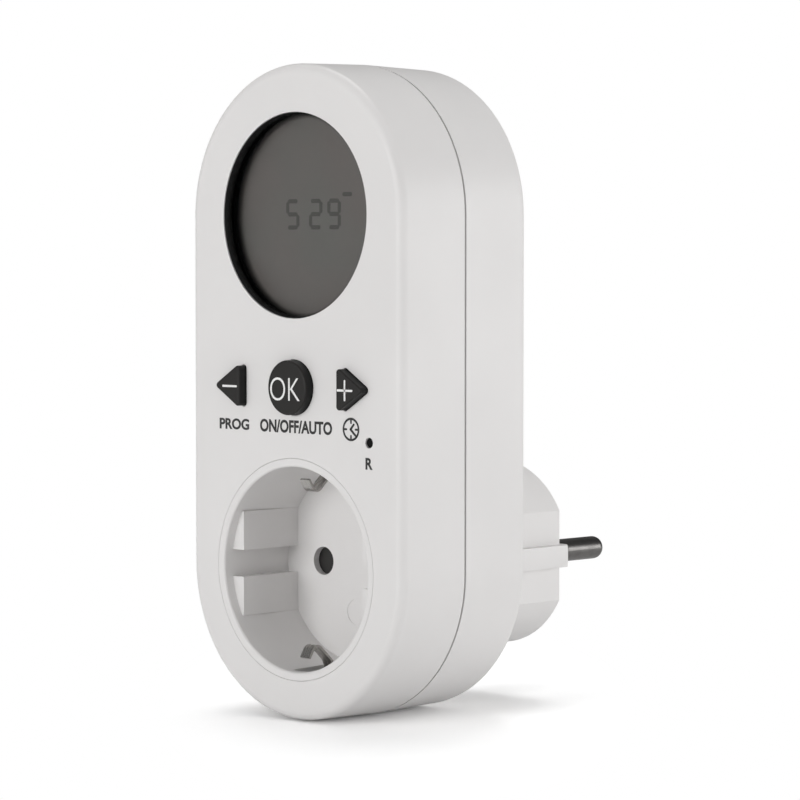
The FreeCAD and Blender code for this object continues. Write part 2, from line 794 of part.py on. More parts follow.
contact_front = BASE_BACK - S.contact_gap
contact_back = contact_front - S.contact_length
for label, side in (("neutral_contact", -1), ("line_contact", 1)):
    contact = Piece(label)
    middle = PIN_X * side
    sleeve = contact.outline(contact_back).circle(middle, ZERO, S.contact_bore_radius + S.contact_metal)
    sleeve.circle(middle, ZERO, S.contact_bore_radius)
    contact.pad(sleeve, S.contact_length)
    slit_half = S.contact_slit / 2
    slit_low = -(S.contact_bore_radius + S.overshoot)
    slit_high = -S.contact_bore_radius / 2
    slit = contact.outline(contact_back).box(middle - slit_half, middle + slit_half, slit_low, slit_high)
    contact.cut(slit, S.contact_length)

# Plug pins, riveted to the strips behind the plug's end wall

rivet_start = S.plug_end_wall + S.pin_collar
rivet_seat = rivet_start + S.strip_metal
for label, side in (("neutral_pin", -1), ("line_pin", 1)):
    pin = Piece(label)
    pin.pad(pin.outline(S.plug_end_wall).circle(PIN_X * side, ZERO, pin_root),
            S.plug_end_wall + S.pin_root_length, backward=True)
    pin.bevel(S.pin_root_margin, at_depth(-S.pin_root_length))
    pin.pad(pin.outline(-S.pin_root_length).circle(PIN_X * side, ZERO, S.pin_radius),
            S.pin_length - S.pin_root_length, backward=True)
    pin.round(S.pin_tip_round, at_depth(-S.pin_length))
    pin.pad(pin.outline(S.plug_end_wall).circle(PIN_X * side, ZERO, S.pin_collar_radius), S.pin_collar)
    pin.pad(pin.outline(rivet_start).circle(PIN_X * side, ZERO, S.rivet_end_radius), S.strip_metal)
    pin.pad(pin.outline(rivet_seat).circle(PIN_X * side, ZERO, S.rivet_head_radius), S.rivet_head)

# Strips that carry the current from the pins: the neutral one reaches the socket contact

foot_inner = PIN_X - S.strip_width / 2
leg_inner = PIN_X + S.contact_bore_radius + S.contact_metal + S.pin_fit
leg_outer = leg_inner + S.strip_metal
strip_half = S.strip_width / 2
STRIPS = [
    ("neutral_strip", -1, contact_front - S.contact_gap),
    ("line_strip", 1, S.line_strip_end),
]
for label, side, leg_end in STRIPS:
    strip = Piece(label)
    foot = strip.outline(rivet_start).box(foot_inner * side, leg_outer * side, -strip_half, strip_half)
    strip.pad(foot, S.strip_metal)
    rivet_hole = strip.outline(rivet_start).circle(PIN_X * side, ZERO, S.rivet_end_radius + S.pin_fit)
    strip.cut(rivet_hole, S.strip_metal)
    leg = strip.outline(rivet_start).box(leg_inner * side, leg_outer * side, -strip_half, strip_half)
    strip.pad(leg, leg_end - rivet_start)

# Earth straps: the front one ends in the two clips of the socket, the rear one in the
# two contact bars of the plug, and a rivet holds them together behind the socket

strap_depth = REAR_INSIDE + S.strap_lift
strap_height = S.cup_radius + S.strap_clearance + S.strap_metal / 2
clip_tip = FACE - S.clip_tip_setback
slot_end = FACE - S.clip_slot_start - S.clip_slot_length
half_path = [
    (clip_tip, S.clip_tip_height),
    (clip_tip - S.clip_crest_setback, S.clip_crest_height),
    (clip_tip - S.clip_tail_setback, S.clip_tail_height),
    (slot_end + S.clip_slot_gap, strap_height),
    (strap_depth, strap_height),
]
upper = [point(0, depth, height) for depth, height in half_path]
lower = [point(0, depth, -height) for depth, height in reversed(half_path)]
strap = swept_strip(upper + lower, float(S.strap_bend), float(S.strap_metal), float(S.strap_width),
                    Vector(1, 0, 0))
bar_depth = strap_depth - S.strap_metal / 2 - S.earth_bar_metal / 2 - S.pin_fit
bar_path = [(S.earth_bar_tip, S.earth_bar_height), (bar_depth, S.earth_bar_height)]
upper = [point(0, depth, height) for depth, height in bar_path]
lower = [point(0, depth, -height) for depth, height in reversed(bar_path)]
bars = swept_strip(upper + lower, float(S.strap_bend), float(S.earth_bar_metal), float(S.earth_bar_width),
                   Vector(1, 0, 0))
reach = S.strap_metal + S.earth_bar_metal
rivet_way = rod(point(0, bar_depth - reach, 0), point(0, strap_depth + reach, 0),
                float(S.earth_rivet_radius + S.pin_fit))
shaped("earth_clip_strap", strap.cut(rivet_way))
shaped("earth_bar_strap", bars.cut(rivet_way))
rivet_front = strap_depth + S.strap_metal / 2
rivet_back = bar_depth - S.earth_bar_metal / 2
earth_rivet = Piece("earth_rivet")
rivet_body = earth_rivet.outline(rivet_back).circle(ZERO, ZERO, S.earth_rivet_radius)
earth_rivet.pad(rivet_body, rivet_front - rivet_back)
front_head = earth_rivet.outline(rivet_front).circle(ZERO, ZERO, S.earth_rivet_head_radius)
earth_rivet.pad(front_head, S.earth_rivet_head)
rear_head = earth_rivet.outline(rivet_back).circle(ZERO, ZERO, S.earth_rivet_head_radius)
earth_rivet.pad(rear_head, S.earth_rivet_head, backward=True)

# Display: clear lens, dark frame, liquid crystal panel, its backing and its contact strip


def cornered(outline, half_width, below, corner):
    """A panel outline round the display's centre, its upper corners cut to clear the housing."""
    low = S.arc_spacing - below
    high = S.arc_spacing + half_width
    return outline.polygon([
        (-half_width, low), (half_width, low), (half_width, high - corner), (half_width - corner, high),
        (corner - half_width, high), (-half_width, high - corner)])


lens = Piece("display_lens")
flange = lens.outline(FRONT_INSIDE - S.lens_flange)
lens.pad(flange.circle(ZERO, S.arc_spacing, WINDOW_RADIUS + S.lens_flange_margin), S.lens_flange)
lens.pad(lens.outline(FRONT_INSIDE).circle(ZERO, S.arc_spacing, WINDOW_RADIUS - S.lens_clearance),
         S.front_wall - S.lens_recess)

frame = Piece("display_frame")
frame_front = FRONT_INSIDE - S.lens_flange
frame_half = WINDOW_RADIUS + S.frame_margin
frame_below = WINDOW_RADIUS + S.frame_margin_below
frame.pad(cornered(frame.outline(BOARD_FRONT), frame_half, frame_below, S.frame_corner),
          frame_front - BOARD_FRONT)
frame.cut(frame.outline(LCD_FRONT).circle(ZERO, S.arc_spacing, WINDOW_RADIUS - S.lens_clearance / 2),
          frame_front - LCD_FRONT)
lcd_half = WINDOW_RADIUS + S.lcd_margin
lcd_below = WINDOW_RADIUS + S.lcd_margin_below
frame.cut(cornered(frame.outline(BOARD_FRONT), lcd_half + S.lcd_clearance, lcd_below + S.lcd_clearance,
                   S.lcd_corner), LCD_FRONT - BOARD_FRONT)

lcd = Piece("lcd_panel")
lcd.pad(cornered(lcd.outline(LCD_MIDDLE), lcd_half, lcd_below, S.lcd_corner), S.lcd_front_glass)
lcd.pad(cornered(lcd.outline(LCD_BACK), lcd_half, lcd_below - S.lcd_ledge, S.lcd_corner), S.lcd_rear_glass)

backing = Piece("lcd_backing")
backing_below = lcd_below - S.lcd_ledge - S.backing_inset
backing.pad(cornered(backing.outline(BOARD_FRONT), lcd_half - S.backing_inset, backing_below, S.lcd_corner),
            LCD_BACK - BOARD_FRONT)

zebra = Piece("contact_strip")
zebra_low = S.arc_spacing - lcd_below + (S.lcd_ledge - S.zebra_width) / 2
zebra_half = lcd_half - S.zebra_inset
zebra_box = zebra.outline(BOARD_FRONT).box(-zebra_half, zebra_half, zebra_low, zebra_low + S.zebra_width)
zebra.pad(zebra_box, LCD_MIDDLE - BOARD_FRONT)

# Control board, cut round the housing bosses and the earth strap

board = Piece("control_board")
strap_notch = S.board_strap_notch
notch_top = strap_height + S.strap_metal + S.strap_clearance
board.pad(board.outline(BOARD_BACK).polygon([
    (-BOARD_HALF, S.board_bottom), (-strap_notch, S.board_bottom), (-strap_notch, notch_top),
    (strap_notch, notch_top), (strap_notch, S.board_bottom), (BOARD_HALF, S.board_bottom),
    (BOARD_HALF, BOARD_TOP - S.board_corner), (BOARD_HALF - S.board_corner, BOARD_TOP),
    (S.board_corner - BOARD_HALF, BOARD_TOP), (-BOARD_HALF, BOARD_TOP - S.board_corner)]),
    S.board_thickness)
boss_ways = circles(board.outline(BOARD_BACK), BOSSES[1:3], S.boss_radius + S.boss_notch_gap)
board.cut(boss_ways, S.board_thickness)
screw_ways = circles(board.outline(BOARD_BACK), FRONT_POSTS, S.board_screw_radius + S.screw_clearance)
board.cut(screw_ways, S.board_thickness)

# Push switches on the control board, their stems and the keys that press them

SWITCHES = [
    (-S.arrow_switch_offset, S.key_height),
    (ZERO, S.key_height),
    (S.arrow_switch_offset, S.key_height),
    (S.reset_offset, S.reset_height),
]
switches = Piece("push_switches", several=True)
switch_boxes = switches.outline(BOARD_FRONT)
half_side = S.switch_side / 2
for across, up in SWITCHES:
    switch_boxes.box(across - half_side, across + half_side, up - half_side, up + half_side)
switches.pad(switch_boxes, S.switch_height)
switches.cut(circles(switches.outline(SWITCH_TOP), SWITCHES, S.stem_radius + S.stem_clearance),
             S.stem_sunk + S.key_travel + S.stem_end_gap, backward=True)

stem_back = SWITCH_TOP - S.stem_sunk
stem_front = SWITCH_TOP + S.stem_reach
reset_front = FRONT_INSIDE - S.reset_setback
for label, (across, up), top in zip(("minus_stem", "ok_stem", "plus_stem", "reset_stem"), SWITCHES,
                                    (stem_front, stem_front, stem_front, reset_front)):
    stem = Piece(label)
    stem.pad(stem.outline(stem_back).circle(across, up, S.stem_radius), top - stem_back)
    if label == "reset_stem":
        stem.pad(stem.outline(top).circle(across, up, S.reset_tip_radius), FACE - S.reset_tip_setback - top)

flange_front = FRONT_INSIDE - S.key_wall_gap
flange_back = flange_front - S.key_flange
key_top = FACE + S.key_raise

for label, side in (("minus_button", -1), ("plus_button", 1)):
    key = Piece(label)
    key.pad(arrow(key.outline(flange_back), side, S.key_flange_margin / 2), S.key_flange)
    key.round(S.arrow_flange_round, along_depth(flange_back, flange_front))
    key.pad(arrow(key.outline(flange_front), side, ZERO), key_top - flange_front)
    key.round(S.arrow_corner_round, along_depth(flange_front, key_top))
    key.round(S.key_edge_round, at_depth(key_top))
    key.pad(key.outline(stem_front).circle(S.arrow_switch_offset * side, S.key_height, S.key_stalk_radius),
            flange_back - stem_front)
key = Piece("ok_button")
ok_flange = key.outline(flange_back).circle(ZERO, S.key_height, S.ok_key_radius + S.key_flange_margin)
key.pad(ok_flange, S.key_flange)
key.pad(key.outline(flange_front).circle(ZERO, S.key_height, S.ok_key_radius), key_top - flange_front)
key.round(S.key_edge_round, at_depth(key_top))
key.pad(key.outline(stem_front).circle(ZERO, S.key_height, S.key_stalk_radius), flange_back - stem_front)

# Parts on the back of the control board

chip = Piece("control_chip")
chip_outline = chip.outline(BOARD_BACK).circle(S.chip_offset, S.arc_spacing + S.chip_above, S.chip_radius)
chip.pad(chip_outline, S.chip_height, backward=True)
chip.round(S.chip_height - S.chip_edge, at_depth(BOARD_BACK - S.chip_height))
cell = Piece("backup_battery")
cell_up = S.arc_spacing + S.battery_above
cell_outline = cell.outline(BOARD_BACK).circle(-S.battery_offset, cell_up, S.battery_radius)
cell.pad(cell_outline, S.battery_height, backward=True)
cell.round(S.part_round, at_depth(BOARD_BACK - S.battery_height))
crystal_depth = BOARD_BACK - S.crystal_radius
crystal_up = S.arc_spacing - S.crystal_below
crystal_left = -S.crystal_offset
shaped("clock_crystal", rod(point(crystal_left, crystal_depth, crystal_up),
                            point(crystal_left + S.crystal_length, crystal_depth, crystal_up),
                            float(S.crystal_radius)))

# Power board on the rear shell, with the relay and the supply parts

power = Piece("power_board")
power_half = INNER_RADIUS - S.power_side_gap
power.pad(power.outline(POWER_BACK).polygon([
    (-power_half, S.power_bottom), (power_half, S.power_bottom),
    (power_half, BOARD_TOP - S.power_corner), (power_half - S.power_corner, BOARD_TOP),
    (S.power_corner - power_half, BOARD_TOP), (-power_half, BOARD_TOP - S.power_corner)]),
    S.board_thickness)
boss_ways = circles(power.outline(POWER_BACK), BOSSES[1:3], S.boss_base_radius + S.boss_notch_gap)
power.cut(boss_ways, S.board_thickness)
screw_ways = circles(power.outline(POWER_BACK), REAR_POSTS, S.board_screw_radius + S.screw_clearance)
power.cut(screw_ways, S.board_thickness)


def upright_block(label, left, low, width, height, depth):
    """A boxed component that stands on the front of the power board."""
    block = Piece(label)
    block.pad(block.outline(POWER_FRONT).box(left, left + width, low, low + height), depth)
    block.round(S.part_round, along_depth(POWER_FRONT, POWER_FRONT + depth))
    return block


upright_block("relay", S.relay_left, S.parts_low, S.relay_width, S.relay_height, S.relay_depth)
dropper = upright_block("dropper_capacitor", -S.dropper_left, S.parts_low, S.dropper_width,
                        S.dropper_height, S.dropper_depth)
dropper.round(S.part_round / 2, at_depth(POWER_FRONT + S.dropper_depth))
smoother = Piece("smoothing_capacitor")
smoother_outline = smoother.outline(POWER_FRONT)
smoother_outline.circle(S.smoother_offset, S.arc_spacing + S.smoother_above, S.smoother_radius)
smoother.pad(smoother_outline, S.smoother_length)
smoother.round(S.part_round / 2, at_depth(POWER_FRONT + S.smoother_length))

varistor_centre = point(-S.varistor_offset, POWER_FRONT + S.varistor_radius, S.varistor_height)
shaped("varistor", rod(varistor_centre, varistor_centre + Vector(0, 0, float(S.varistor_thickness)),
                       float(S.varistor_radius)))
DIODE_COUNT = 4
diodes = []
for number in range(DIODE_COUNT):
    start = point(-S.diode_offset, POWER_FRONT + S.diode_radius, S.diode_height + S.diode_pitch * number)
    diodes.append(rod(start, start + Vector(float(S.diode_length), 0, 0), float(S.diode_radius)))
shaped("rectifier_diodes", Part.makeCompound(diodes))
resistor_start = point(S.resistor_offset, POWER_FRONT + S.resistor_radius, S.resistor_height)
shaped("power_resistor", rod(resistor_start, resistor_start + Vector(float(S.resistor_length), 0, 0),
                             float(S.resistor_radius)))

ribbon_high = S.ribbon_height + S.ribbon_rise
ribbon = swept_strip([
    point(-S.ribbon_offset, POWER_FRONT, S.ribbon_height),
    point(-S.ribbon_offset, POWER_FRONT + S.ribbon_end_run, S.ribbon_height),
    point(-S.ribbon_offset, BOARD_BACK - S.ribbon_end_run, ribbon_high),
    point(-S.ribbon_offset, BOARD_BACK, ribbon_high)],
    float(S.ribbon_bend), float(S.ribbon_thickness), float(S.ribbon_width), Vector(1, 0, 0))
shaped("ribbon_cable", ribbon)

# Mains wires from the strips and the live contact up to the power board

wire_end_height = S.power_bottom + S.wire_radius * 2
wire_bend = S.wire_radius * S.wire_bend_ratio
behind_board = POWER_BACK - S.wire_radius - S.wire_board_gap
run_start = S.line_strip_end - S.wire_start_setback
run_turn = run_start + S.wire_straight
for label, side in (("neutral_wire", -1), ("line_in_wire", 1)):
    across = (leg_inner - S.wire_radius - S.pin_fit * 2) * side
    wire = swept_wire([
        point(across, run_start, 0),
        point(across, run_turn, 0),
        point(across, run_turn + S.wire_slope, S.wire_rise),
        point(across, behind_board, S.wire_rise),
        point(across, behind_board, wire_end_height),
        point(across, POWER_BACK, wire_end_height),
    ], float(wire_bend), float(S.wire_radius))
    shaped(label, wire)
live_depth = contact_back + S.live_wire_height
live_start = S.contact_bore_radius + S.contact_metal + S.live_wire_gap
live = swept_wire([
    point(PIN_X, live_depth, live_start),
    point(PIN_X, live_depth, wire_end_height),
    point(PIN_X, POWER_FRONT, wire_end_height)],
    float(wire_bend), float(S.wire_radius))
shaped("line_out_wire", live)

# Screws


def screw(head_radius, head, shank_radius, length):
    """A screw with its seat at the origin, its head behind it and its shank forward along -Y."""
    away = Vector(0, 1, 0)
    body = Part.makeCylinder(head_radius, head, Vector(0, 0, 0), away)
    body = body.makeFillet(head / 3, [e for e in body.Edges if near(e.BoundBox.YMin, head) and e.Closed])
    shank = Part.makeCylinder(shank_radius, length, Vector(0, 0, 0), -away)
    shank = shank.makeChamfer(shank_radius / 2, [e for e in shank.Edges if near(e.BoundBox.YMax, -length)])
    slot = Part.makeBox(head_radius * 1.2, head / 2, head_radius / 4)
    slot.translate(Vector(-head_radius * 0.6, head / 2, -head_radius / 8))
    cross = slot.copy()
    cross.rotate(Vector(0, 0, 0), away, 90)
    return body.fuse(shank).cut(slot).cut(cross).removeSplitter()


housing_screw = screw(float(S.screw_head_radius), float(S.screw_head), float(S.screw_shank_radius),
                      float(S.screw_length))
copies = []
for across, up in BOSSES:
    copy = housing_screw.copy()
    copy.translate(point(across, REAR + S.screw_seat, up))
    copies.append(copy)
shaped("housing_screws", Part.makeCompound(copies))

board_screw = screw(float(S.board_screw_head_radius), float(S.board_screw_head),
                    float(S.board_screw_radius), float(S.board_screw_length))
copies = []
for across, up in FRONT_POSTS:
    copy = board_screw.copy()
    copy.translate(point(across, BOARD_BACK, up))
    copies.append(copy)
for across, up in REAR_POSTS:
    copy = board_screw.copy()
    copy.rotate(Vector(0, 0, 0), Vector(0, 0, 1), 180)
    copy.translate(point(across, POWER_FRONT, up))
    copies.append(copy)
shaped("board_screws", Part.makeCompound(copies))

# Check every object, then write one file for each sub-part

doc.recompute()
for item in doc.Objects:
    if "Invalid" in item.State or "Error" in item.State:
        raise ValueError("%s did not recompute" % item.Name)
os.makedirs("parts", exist_ok=True)
for item in doc.Objects:
    if item.TypeId not in ("PartDesign::Body", "Part::Feature"):
        continue
    shape = item.Shape
    if shape.isNull() or not shape.isValid() or not shape.Solids:
        raise ValueError("%s has no valid solid" % item.Label)
    shape.exportStep("parts/%s.step" % item.Label)
    box = shape.BoundBox
    corners = (box.XMin, box.XMax, box.YMin, box.YMax, box.ZMin, box.ZMax)
    print("%-22s solids %d volume %9.1f" % (item.Label, len(shape.Solids), shape.Volume),
          "x %6.1f %6.1f  y %6.1f %6.1f  z %6.1f %6.1f" % corners)
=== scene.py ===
"""Looks of a plug-in timer switch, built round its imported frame.

Frame: +X to the right of someone facing the display, +Y towards the wall, +Z up, in metres.
"""

import math

import bpy
from bpy.props import FloatProperty, FloatVectorProperty, PointerProperty, StringProperty
from mathutils import Matrix, Vector


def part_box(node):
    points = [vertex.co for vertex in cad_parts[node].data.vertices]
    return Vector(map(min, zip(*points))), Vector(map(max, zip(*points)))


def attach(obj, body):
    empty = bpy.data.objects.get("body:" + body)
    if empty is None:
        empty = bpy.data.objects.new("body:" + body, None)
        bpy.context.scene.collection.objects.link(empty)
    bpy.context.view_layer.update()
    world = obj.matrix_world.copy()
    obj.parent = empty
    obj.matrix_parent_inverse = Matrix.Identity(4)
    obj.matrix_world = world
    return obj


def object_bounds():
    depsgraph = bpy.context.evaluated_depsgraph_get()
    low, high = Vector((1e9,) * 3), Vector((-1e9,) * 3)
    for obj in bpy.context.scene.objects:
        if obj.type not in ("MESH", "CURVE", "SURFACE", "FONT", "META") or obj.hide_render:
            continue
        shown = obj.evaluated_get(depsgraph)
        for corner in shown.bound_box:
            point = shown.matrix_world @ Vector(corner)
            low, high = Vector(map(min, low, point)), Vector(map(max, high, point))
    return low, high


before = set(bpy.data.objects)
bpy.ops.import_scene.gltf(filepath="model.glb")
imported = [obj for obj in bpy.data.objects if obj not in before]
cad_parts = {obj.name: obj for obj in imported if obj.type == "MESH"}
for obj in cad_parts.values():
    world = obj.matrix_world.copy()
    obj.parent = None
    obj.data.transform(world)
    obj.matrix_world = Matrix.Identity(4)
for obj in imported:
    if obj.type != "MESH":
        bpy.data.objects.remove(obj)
CAD_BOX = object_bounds()

bl_info = {
    "name": "Plug-in timer switch",
    "version": (1, 0, 0),
    "blender": (4, 5, 0),
    "location": "View3D > Sidebar > Timer switch",
    "description": "Dresses a plug-in timer switch and sets its studio",
    "category": "Object",
}

# Places that the print, the lens's edge and the floor follow
FRONT_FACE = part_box("front_shell")[0].y
KEY_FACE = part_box("ok_button")[0].y
KEY_HEIGHT = (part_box("ok_button")[0].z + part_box("ok_button")[1].z) / 2
PANEL_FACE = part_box("lcd_panel")[0].y
LENS_CENTRE = (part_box("display_lens")[0].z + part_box("display_lens")[1].z) / 2
DIODE_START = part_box("rectifier_diodes")[0].x
LOWEST = CAD_BOX[0].z

MM = 0.001
WHITE = (1.0, 1.0, 1.0, 1.0)
# width of one band of the Wave texture at a scale of one
BAND_WIDTH = math.pi / 10


# Sizes and colours that a user would change


def length(name, description, default):
    return FloatProperty(name=name, description=description, default=default,
                         unit="LENGTH", precision=5)


def number(name, description, default):
    return FloatProperty(name=name, description=description, default=default)


def share(name, description, default):
    return FloatProperty(name=name, description=description, default=default,
                         min=0.0, max=1.0, subtype="FACTOR")


def tint(name, description, default):
    return FloatVectorProperty(name=name, description=description, default=default,
                               size=3, min=0.0, max=1.0, subtype="COLOR")


def point(name, description, default):
    return FloatVectorProperty(name=name, description=description, default=default,
                               size=3, subtype="TRANSLATION")


class HousingFinish(bpy.types.PropertyGroup):
    colour: tint("Shell colour", "Colour of the moulded housing", (0.745, 0.732, 0.725))
    roughness: share("Shell roughness", "How dull the housing's satin surface is", 0.44)
    grain: length("Grain", "Size of the mould's fine grain", 0.35 * MM)
    key_colour: tint("Key colour", "Colour of the three keys", (0.017, 0.016, 0.015))
    rubbed_colour: tint("Rubbed colour", "Colour of the keys' rubbed spots", (0.026, 0.025, 0.024))
    # the keys' sides take painted shade: a near-black colour in place of the shade on their side
    # walls
    key_side_painted_shade: tint("Key side colour", "Colour of the keys' sides", (0.002, 0.002, 0.002))
    shutter_colour: tint("Shutter colour", "Colour of the socket's shutter", (0.022, 0.021, 0.020))


class DisplayFinish(bpy.types.PropertyGroup):
    # the lens's edge is black, and the soft dark band inside it, wider on the left, is painted
    # shade of the window's wall
    clear_radius: length("Clear radius", "Radius of the lens inside its soft black edge", 19.1 * MM)
    black_radius: length("Black radius", "Radius from which the lens's edge is black", 21.2 * MM)
    painted_shade_shift: length("Clear shift", "How far to the right the clear part stands", 1.0 * MM)
    panel_colour: tint("Panel colour", "Colour of the unlit display", (0.178, 0.172, 0.165))
    panel_blush: tint("Panel blush", "Colour of its warmer patches", (0.190, 0.170, 0.165))
    digit_colour: tint("Digit colour", "Colour of the display's segments", (0.108, 0.104, 0.100))
    digit_height: length("Digit height", "Height of the display's figures", 6.2 * MM)
    digit_width: length("Digit width", "Width of the display's figures", 3.9 * MM)
    segment_width: length("Segment width", "Width of one segment of a figure", 0.98 * MM)
    reading: StringProperty(name="Reading", description="What the display shows", default="5 29")


class PrintFinish(bpy.types.PropertyGroup):
    ink_colour: tint("Ink", "Colour of the words on the housing", (0.022, 0.021, 0.021))
    key_ink_colour: tint("Key ink", "Colour of the marks on the keys", (0.86, 0.86, 0.85))
    ink_depth: length("Ink depth", "How far the print stands proud", 0.03 * MM)
    weight: number("Weight", "How much the words' strokes are fattened", 0.034)
    key_weight: number("Key weight", "How much the strokes of OK are fattened", -0.012)
    stroke: length("Mark stroke", "Width of the strokes of the marks on the keys", 0.46 * MM)


class MetalFinish(bpy.types.PropertyGroup):
    pin_colour: tint("Pin colour", "Colour of the plated pins", (0.17, 0.165, 0.16))
    clip_colour: tint("Clip colour", "Colour of the earth clips", (0.50, 0.485, 0.465))
    brass_colour: tint("Brass", "Colour of the bare brass contacts", (0.62, 0.43, 0.17))
    steel_colour: tint("Steel", "Colour of screws and cans", (0.50, 0.50, 0.49))


class StudioSettings(bpy.types.PropertyGroup):
    azimuth: number("Azimuth", "Camera's turn round the object, in degrees", 44.352)
    elevation: number("Elevation", "Camera's angle above level, in degrees", 2.555)
    distance: length("Distance", "Camera's distance from its target", 670.06 * MM)
    target: point("Target", "What the camera looks at", (-1.02 * MM, -31.0 * MM, 32.785 * MM))
    lens: number("Lens", "Focal length in millimetres on a 36 mm sensor", 146.72)
    sky: number("Sky", "Strength of the even light from all round", 0.39)
    gloss_front: number("Gloss in front", "What shiny parts mirror from the front", 0.2)
    gloss_back: number("Gloss behind", "What shiny parts mirror from behind", 0.1)
    floor_colour: tint("Floor", "Colour of the floor as the object sees it", (0.90, 0.90, 0.90))
    floor_gain: number("Floor gain", "How bright the camera sees the lit floor", 1.46)
    shadow_centre: point("Shadow centre", "Middle of the floor that shows a shadow",
                         (-17 * MM, -16 * MM, 0))
    shadow_reach: point("Shadow reach", "Half of that floor's width and depth",
                        (50 * MM, 150 * MM, 1))


def settings(name):
    return getattr(bpy.context.scene, "timer_" + name)


def opaque(colour):
    return tuple(colour) + (1.0,)


# Shader nodes


class Value:
    """A socket that takes part in arithmetic; each operation adds its Math node."""

    def __init__(self, graph, socket):
        self.graph = graph
        self.socket = socket

    def __add__(self, other):
        return self.graph.maths("ADD", self, other)

    def __sub__(self, other):
        return self.graph.maths("SUBTRACT", self, other)

    def __rsub__(self, other):
        return self.graph.maths("SUBTRACT", other, self)

    def __mul__(self, other):
        return self.graph.maths("MULTIPLY", self, other)

    __radd__ = __add__
    __rmul__ = __mul__


class Graph:
    """A tree of shader nodes, for a material or for the sky."""

    def __init__(self, tree):
        self.tree = tree

    def node(self, kind, choices=None, sockets=None, output=0):
        """Adds a node; its choices are set first, then the values or links of its sockets."""
        node = self.tree.nodes.new(kind)
        for name, value in (choices or {}).items():
            if name == "stops":
                self.set_stops(node.color_ramp.elements, value)
            else:
                setattr(node, name, value)
        for name, value in (sockets or {}).items():
            self.plug(node.inputs[name], value)
        return Value(self, node.outputs[output])

    @staticmethod
    def set_stops(elements, stops):
        """Gives each stop of a ramp its position and its grey level."""
        for element, (position, level) in zip(elements, stops):
            element.position = position
            element.color = (level, level, level, 1.0)

    def plug(self, socket, value):
        """Links a value to a socket, or sets the socket to a constant."""
        if isinstance(value, Value):
            self.tree.links.new(value.socket, socket)
        else:
            socket.default_value = value

    def maths(self, operation, *operands):
        return self.node("ShaderNodeMath", {"operation": operation}, dict(enumerate(operands)))

    def vector_maths(self, operation, output, *operands):
        return self.node("ShaderNodeVectorMath", {"operation": operation},
                         dict(enumerate(operands)), output)

    def along(self, vector, axis):
        """One coordinate of a vector."""
        return self.node("ShaderNodeSeparateXYZ", None, {"Vector": vector}, "XYZ".index(axis))

    def smooth(self, value, low, high, start=0.0, end=1.0):
        """Goes smoothly from start to end between two values."""
        return self.node("ShaderNodeMapRange", {"interpolation_type": "SMOOTHSTEP"},
                         {"Value": value, "From Min": low, "From Max": high,
                          "To Min": start, "To Max": end})

    def ray(self, kind):
        """One where the ray is of this kind, and nothing elsewhere."""
        return self.node("ShaderNodeLightPath", output="Is %s Ray" % kind)

    def mixed(self, factor, first, second):
        """A colour between two others."""
        return self.node("ShaderNodeMix", {"data_type": "RGBA"},
                         {0: factor, 6: first, 7: second}, output=2)

    def blend(self, first, second, weight):
        """A value made of this share of the first and the rest of the second."""
        return first * weight + second * (1 - weight)


class Finish(Graph):
    """One material: its Principled shader and the nodes that vary it over the surface."""

    def __init__(self, name, colour, roughness, **constants):
        self.material = bpy.data.materials.new(name)
        self.material.use_nodes = True
        super().__init__(self.material.node_tree)
        self.shader = self.tree.nodes["Principled BSDF"]
        self.colour = opaque(colour)
        self.roughness = roughness
        self.shader.inputs["Base Color"].default_value = self.colour
        self.shader.inputs["Roughness"].default_value = roughness
        for socket, value in constants.items():
            self.shader.inputs[socket.replace("_", " ")].default_value = value
        self.place = self.node("ShaderNodeTexCoord", output="Object")
        self.material.diffuse_color = self.colour

    def noise(self, size, detail=2.0, stretch=(1, 1, 1)):
        """Noise whose features are about the size given, in metres, drawn out along the axes."""
        scale = [1 / s for s in stretch]
        place = self.node("ShaderNodeMapping", None, {"Vector": self.place, "Scale": scale})
        return self.node("ShaderNodeTexNoise", None,
                         {"Vector": place, "Scale": 1 / size, "Detail": detail})

    def bands(self, axis, size):
        """Even bands across one axis, each as wide as the size given."""
        return self.node("ShaderNodeTexWave", {"bands_direction": axis},
                         {"Vector": self.place, "Scale": BAND_WIDTH / size})

    def ramp(self, value, low, high, start=0.0, end=1.0):
        """Goes evenly from start to end between two values."""
        return self.node("ShaderNodeValToRGB", {"stops": [(low, start), (high, end)]},
                         {"Fac": value})

    def recolour(self, factor, colour):
        """Moves the base colour towards another one where the factor is high."""
        current = self.shader.inputs["Base Color"]
        first = Value(self, current.links[0].from_socket) if current.is_linked else self.colour
        self.plug(current, self.mixed(factor, first, colour))
        return self

    def darken(self, factor, amount):
        """Takes a share of the first base colour away where the factor is high."""
        return self.recolour(factor, opaque(c * (1 - amount) for c in self.colour[:3]))

    def dull(self, factor, amount):
        """Adds to the roughness where the factor is above one half, and takes from it below."""
        self.plug(self.shader.inputs["Roughness"], (factor - 0.5) * amount + self.roughness)
        return self

    def relief(self, height, depth):
        """Bump whose height from lowest to highest is the depth given, in metres."""
        current = self.shader.inputs["Normal"]
        sockets = {"Height": height, "Distance": depth, "Strength": 1.0}
        if current.is_linked:
            sockets["Normal"] = Value(self, current.links[0].from_socket)
        self.plug(current, self.node("ShaderNodeBump", None, sockets))
        return self

    def cover(self, factor, first=None, second=None):
        """Mixes the Principled shader with another one, which comes first or second."""
        own = Value(self, self.shader.outputs[0])
        both = self.node("ShaderNodeMixShader", None,
                         {0: factor, 1: first or own, 2: second or own})
        self.plug(self.tree.nodes["Material Output"].inputs["Surface"], both)
        return self

    def give(self, *names):
        """Puts the material on CAD nodes or new pieces."""
        for name in names:
            mesh = bpy.data.objects[name].data
            mesh.materials.clear()
            mesh.materials.append(self.material)
        return self


# Modelling

# Corners of a round drawing, of a bar with round ends and of a bar with pointed ends
RING_SIDES = 72
ROUND_BAR = 12
POINTED_BAR = 6

# Steps in each curve of a letter
LETTER_STEPS = 6


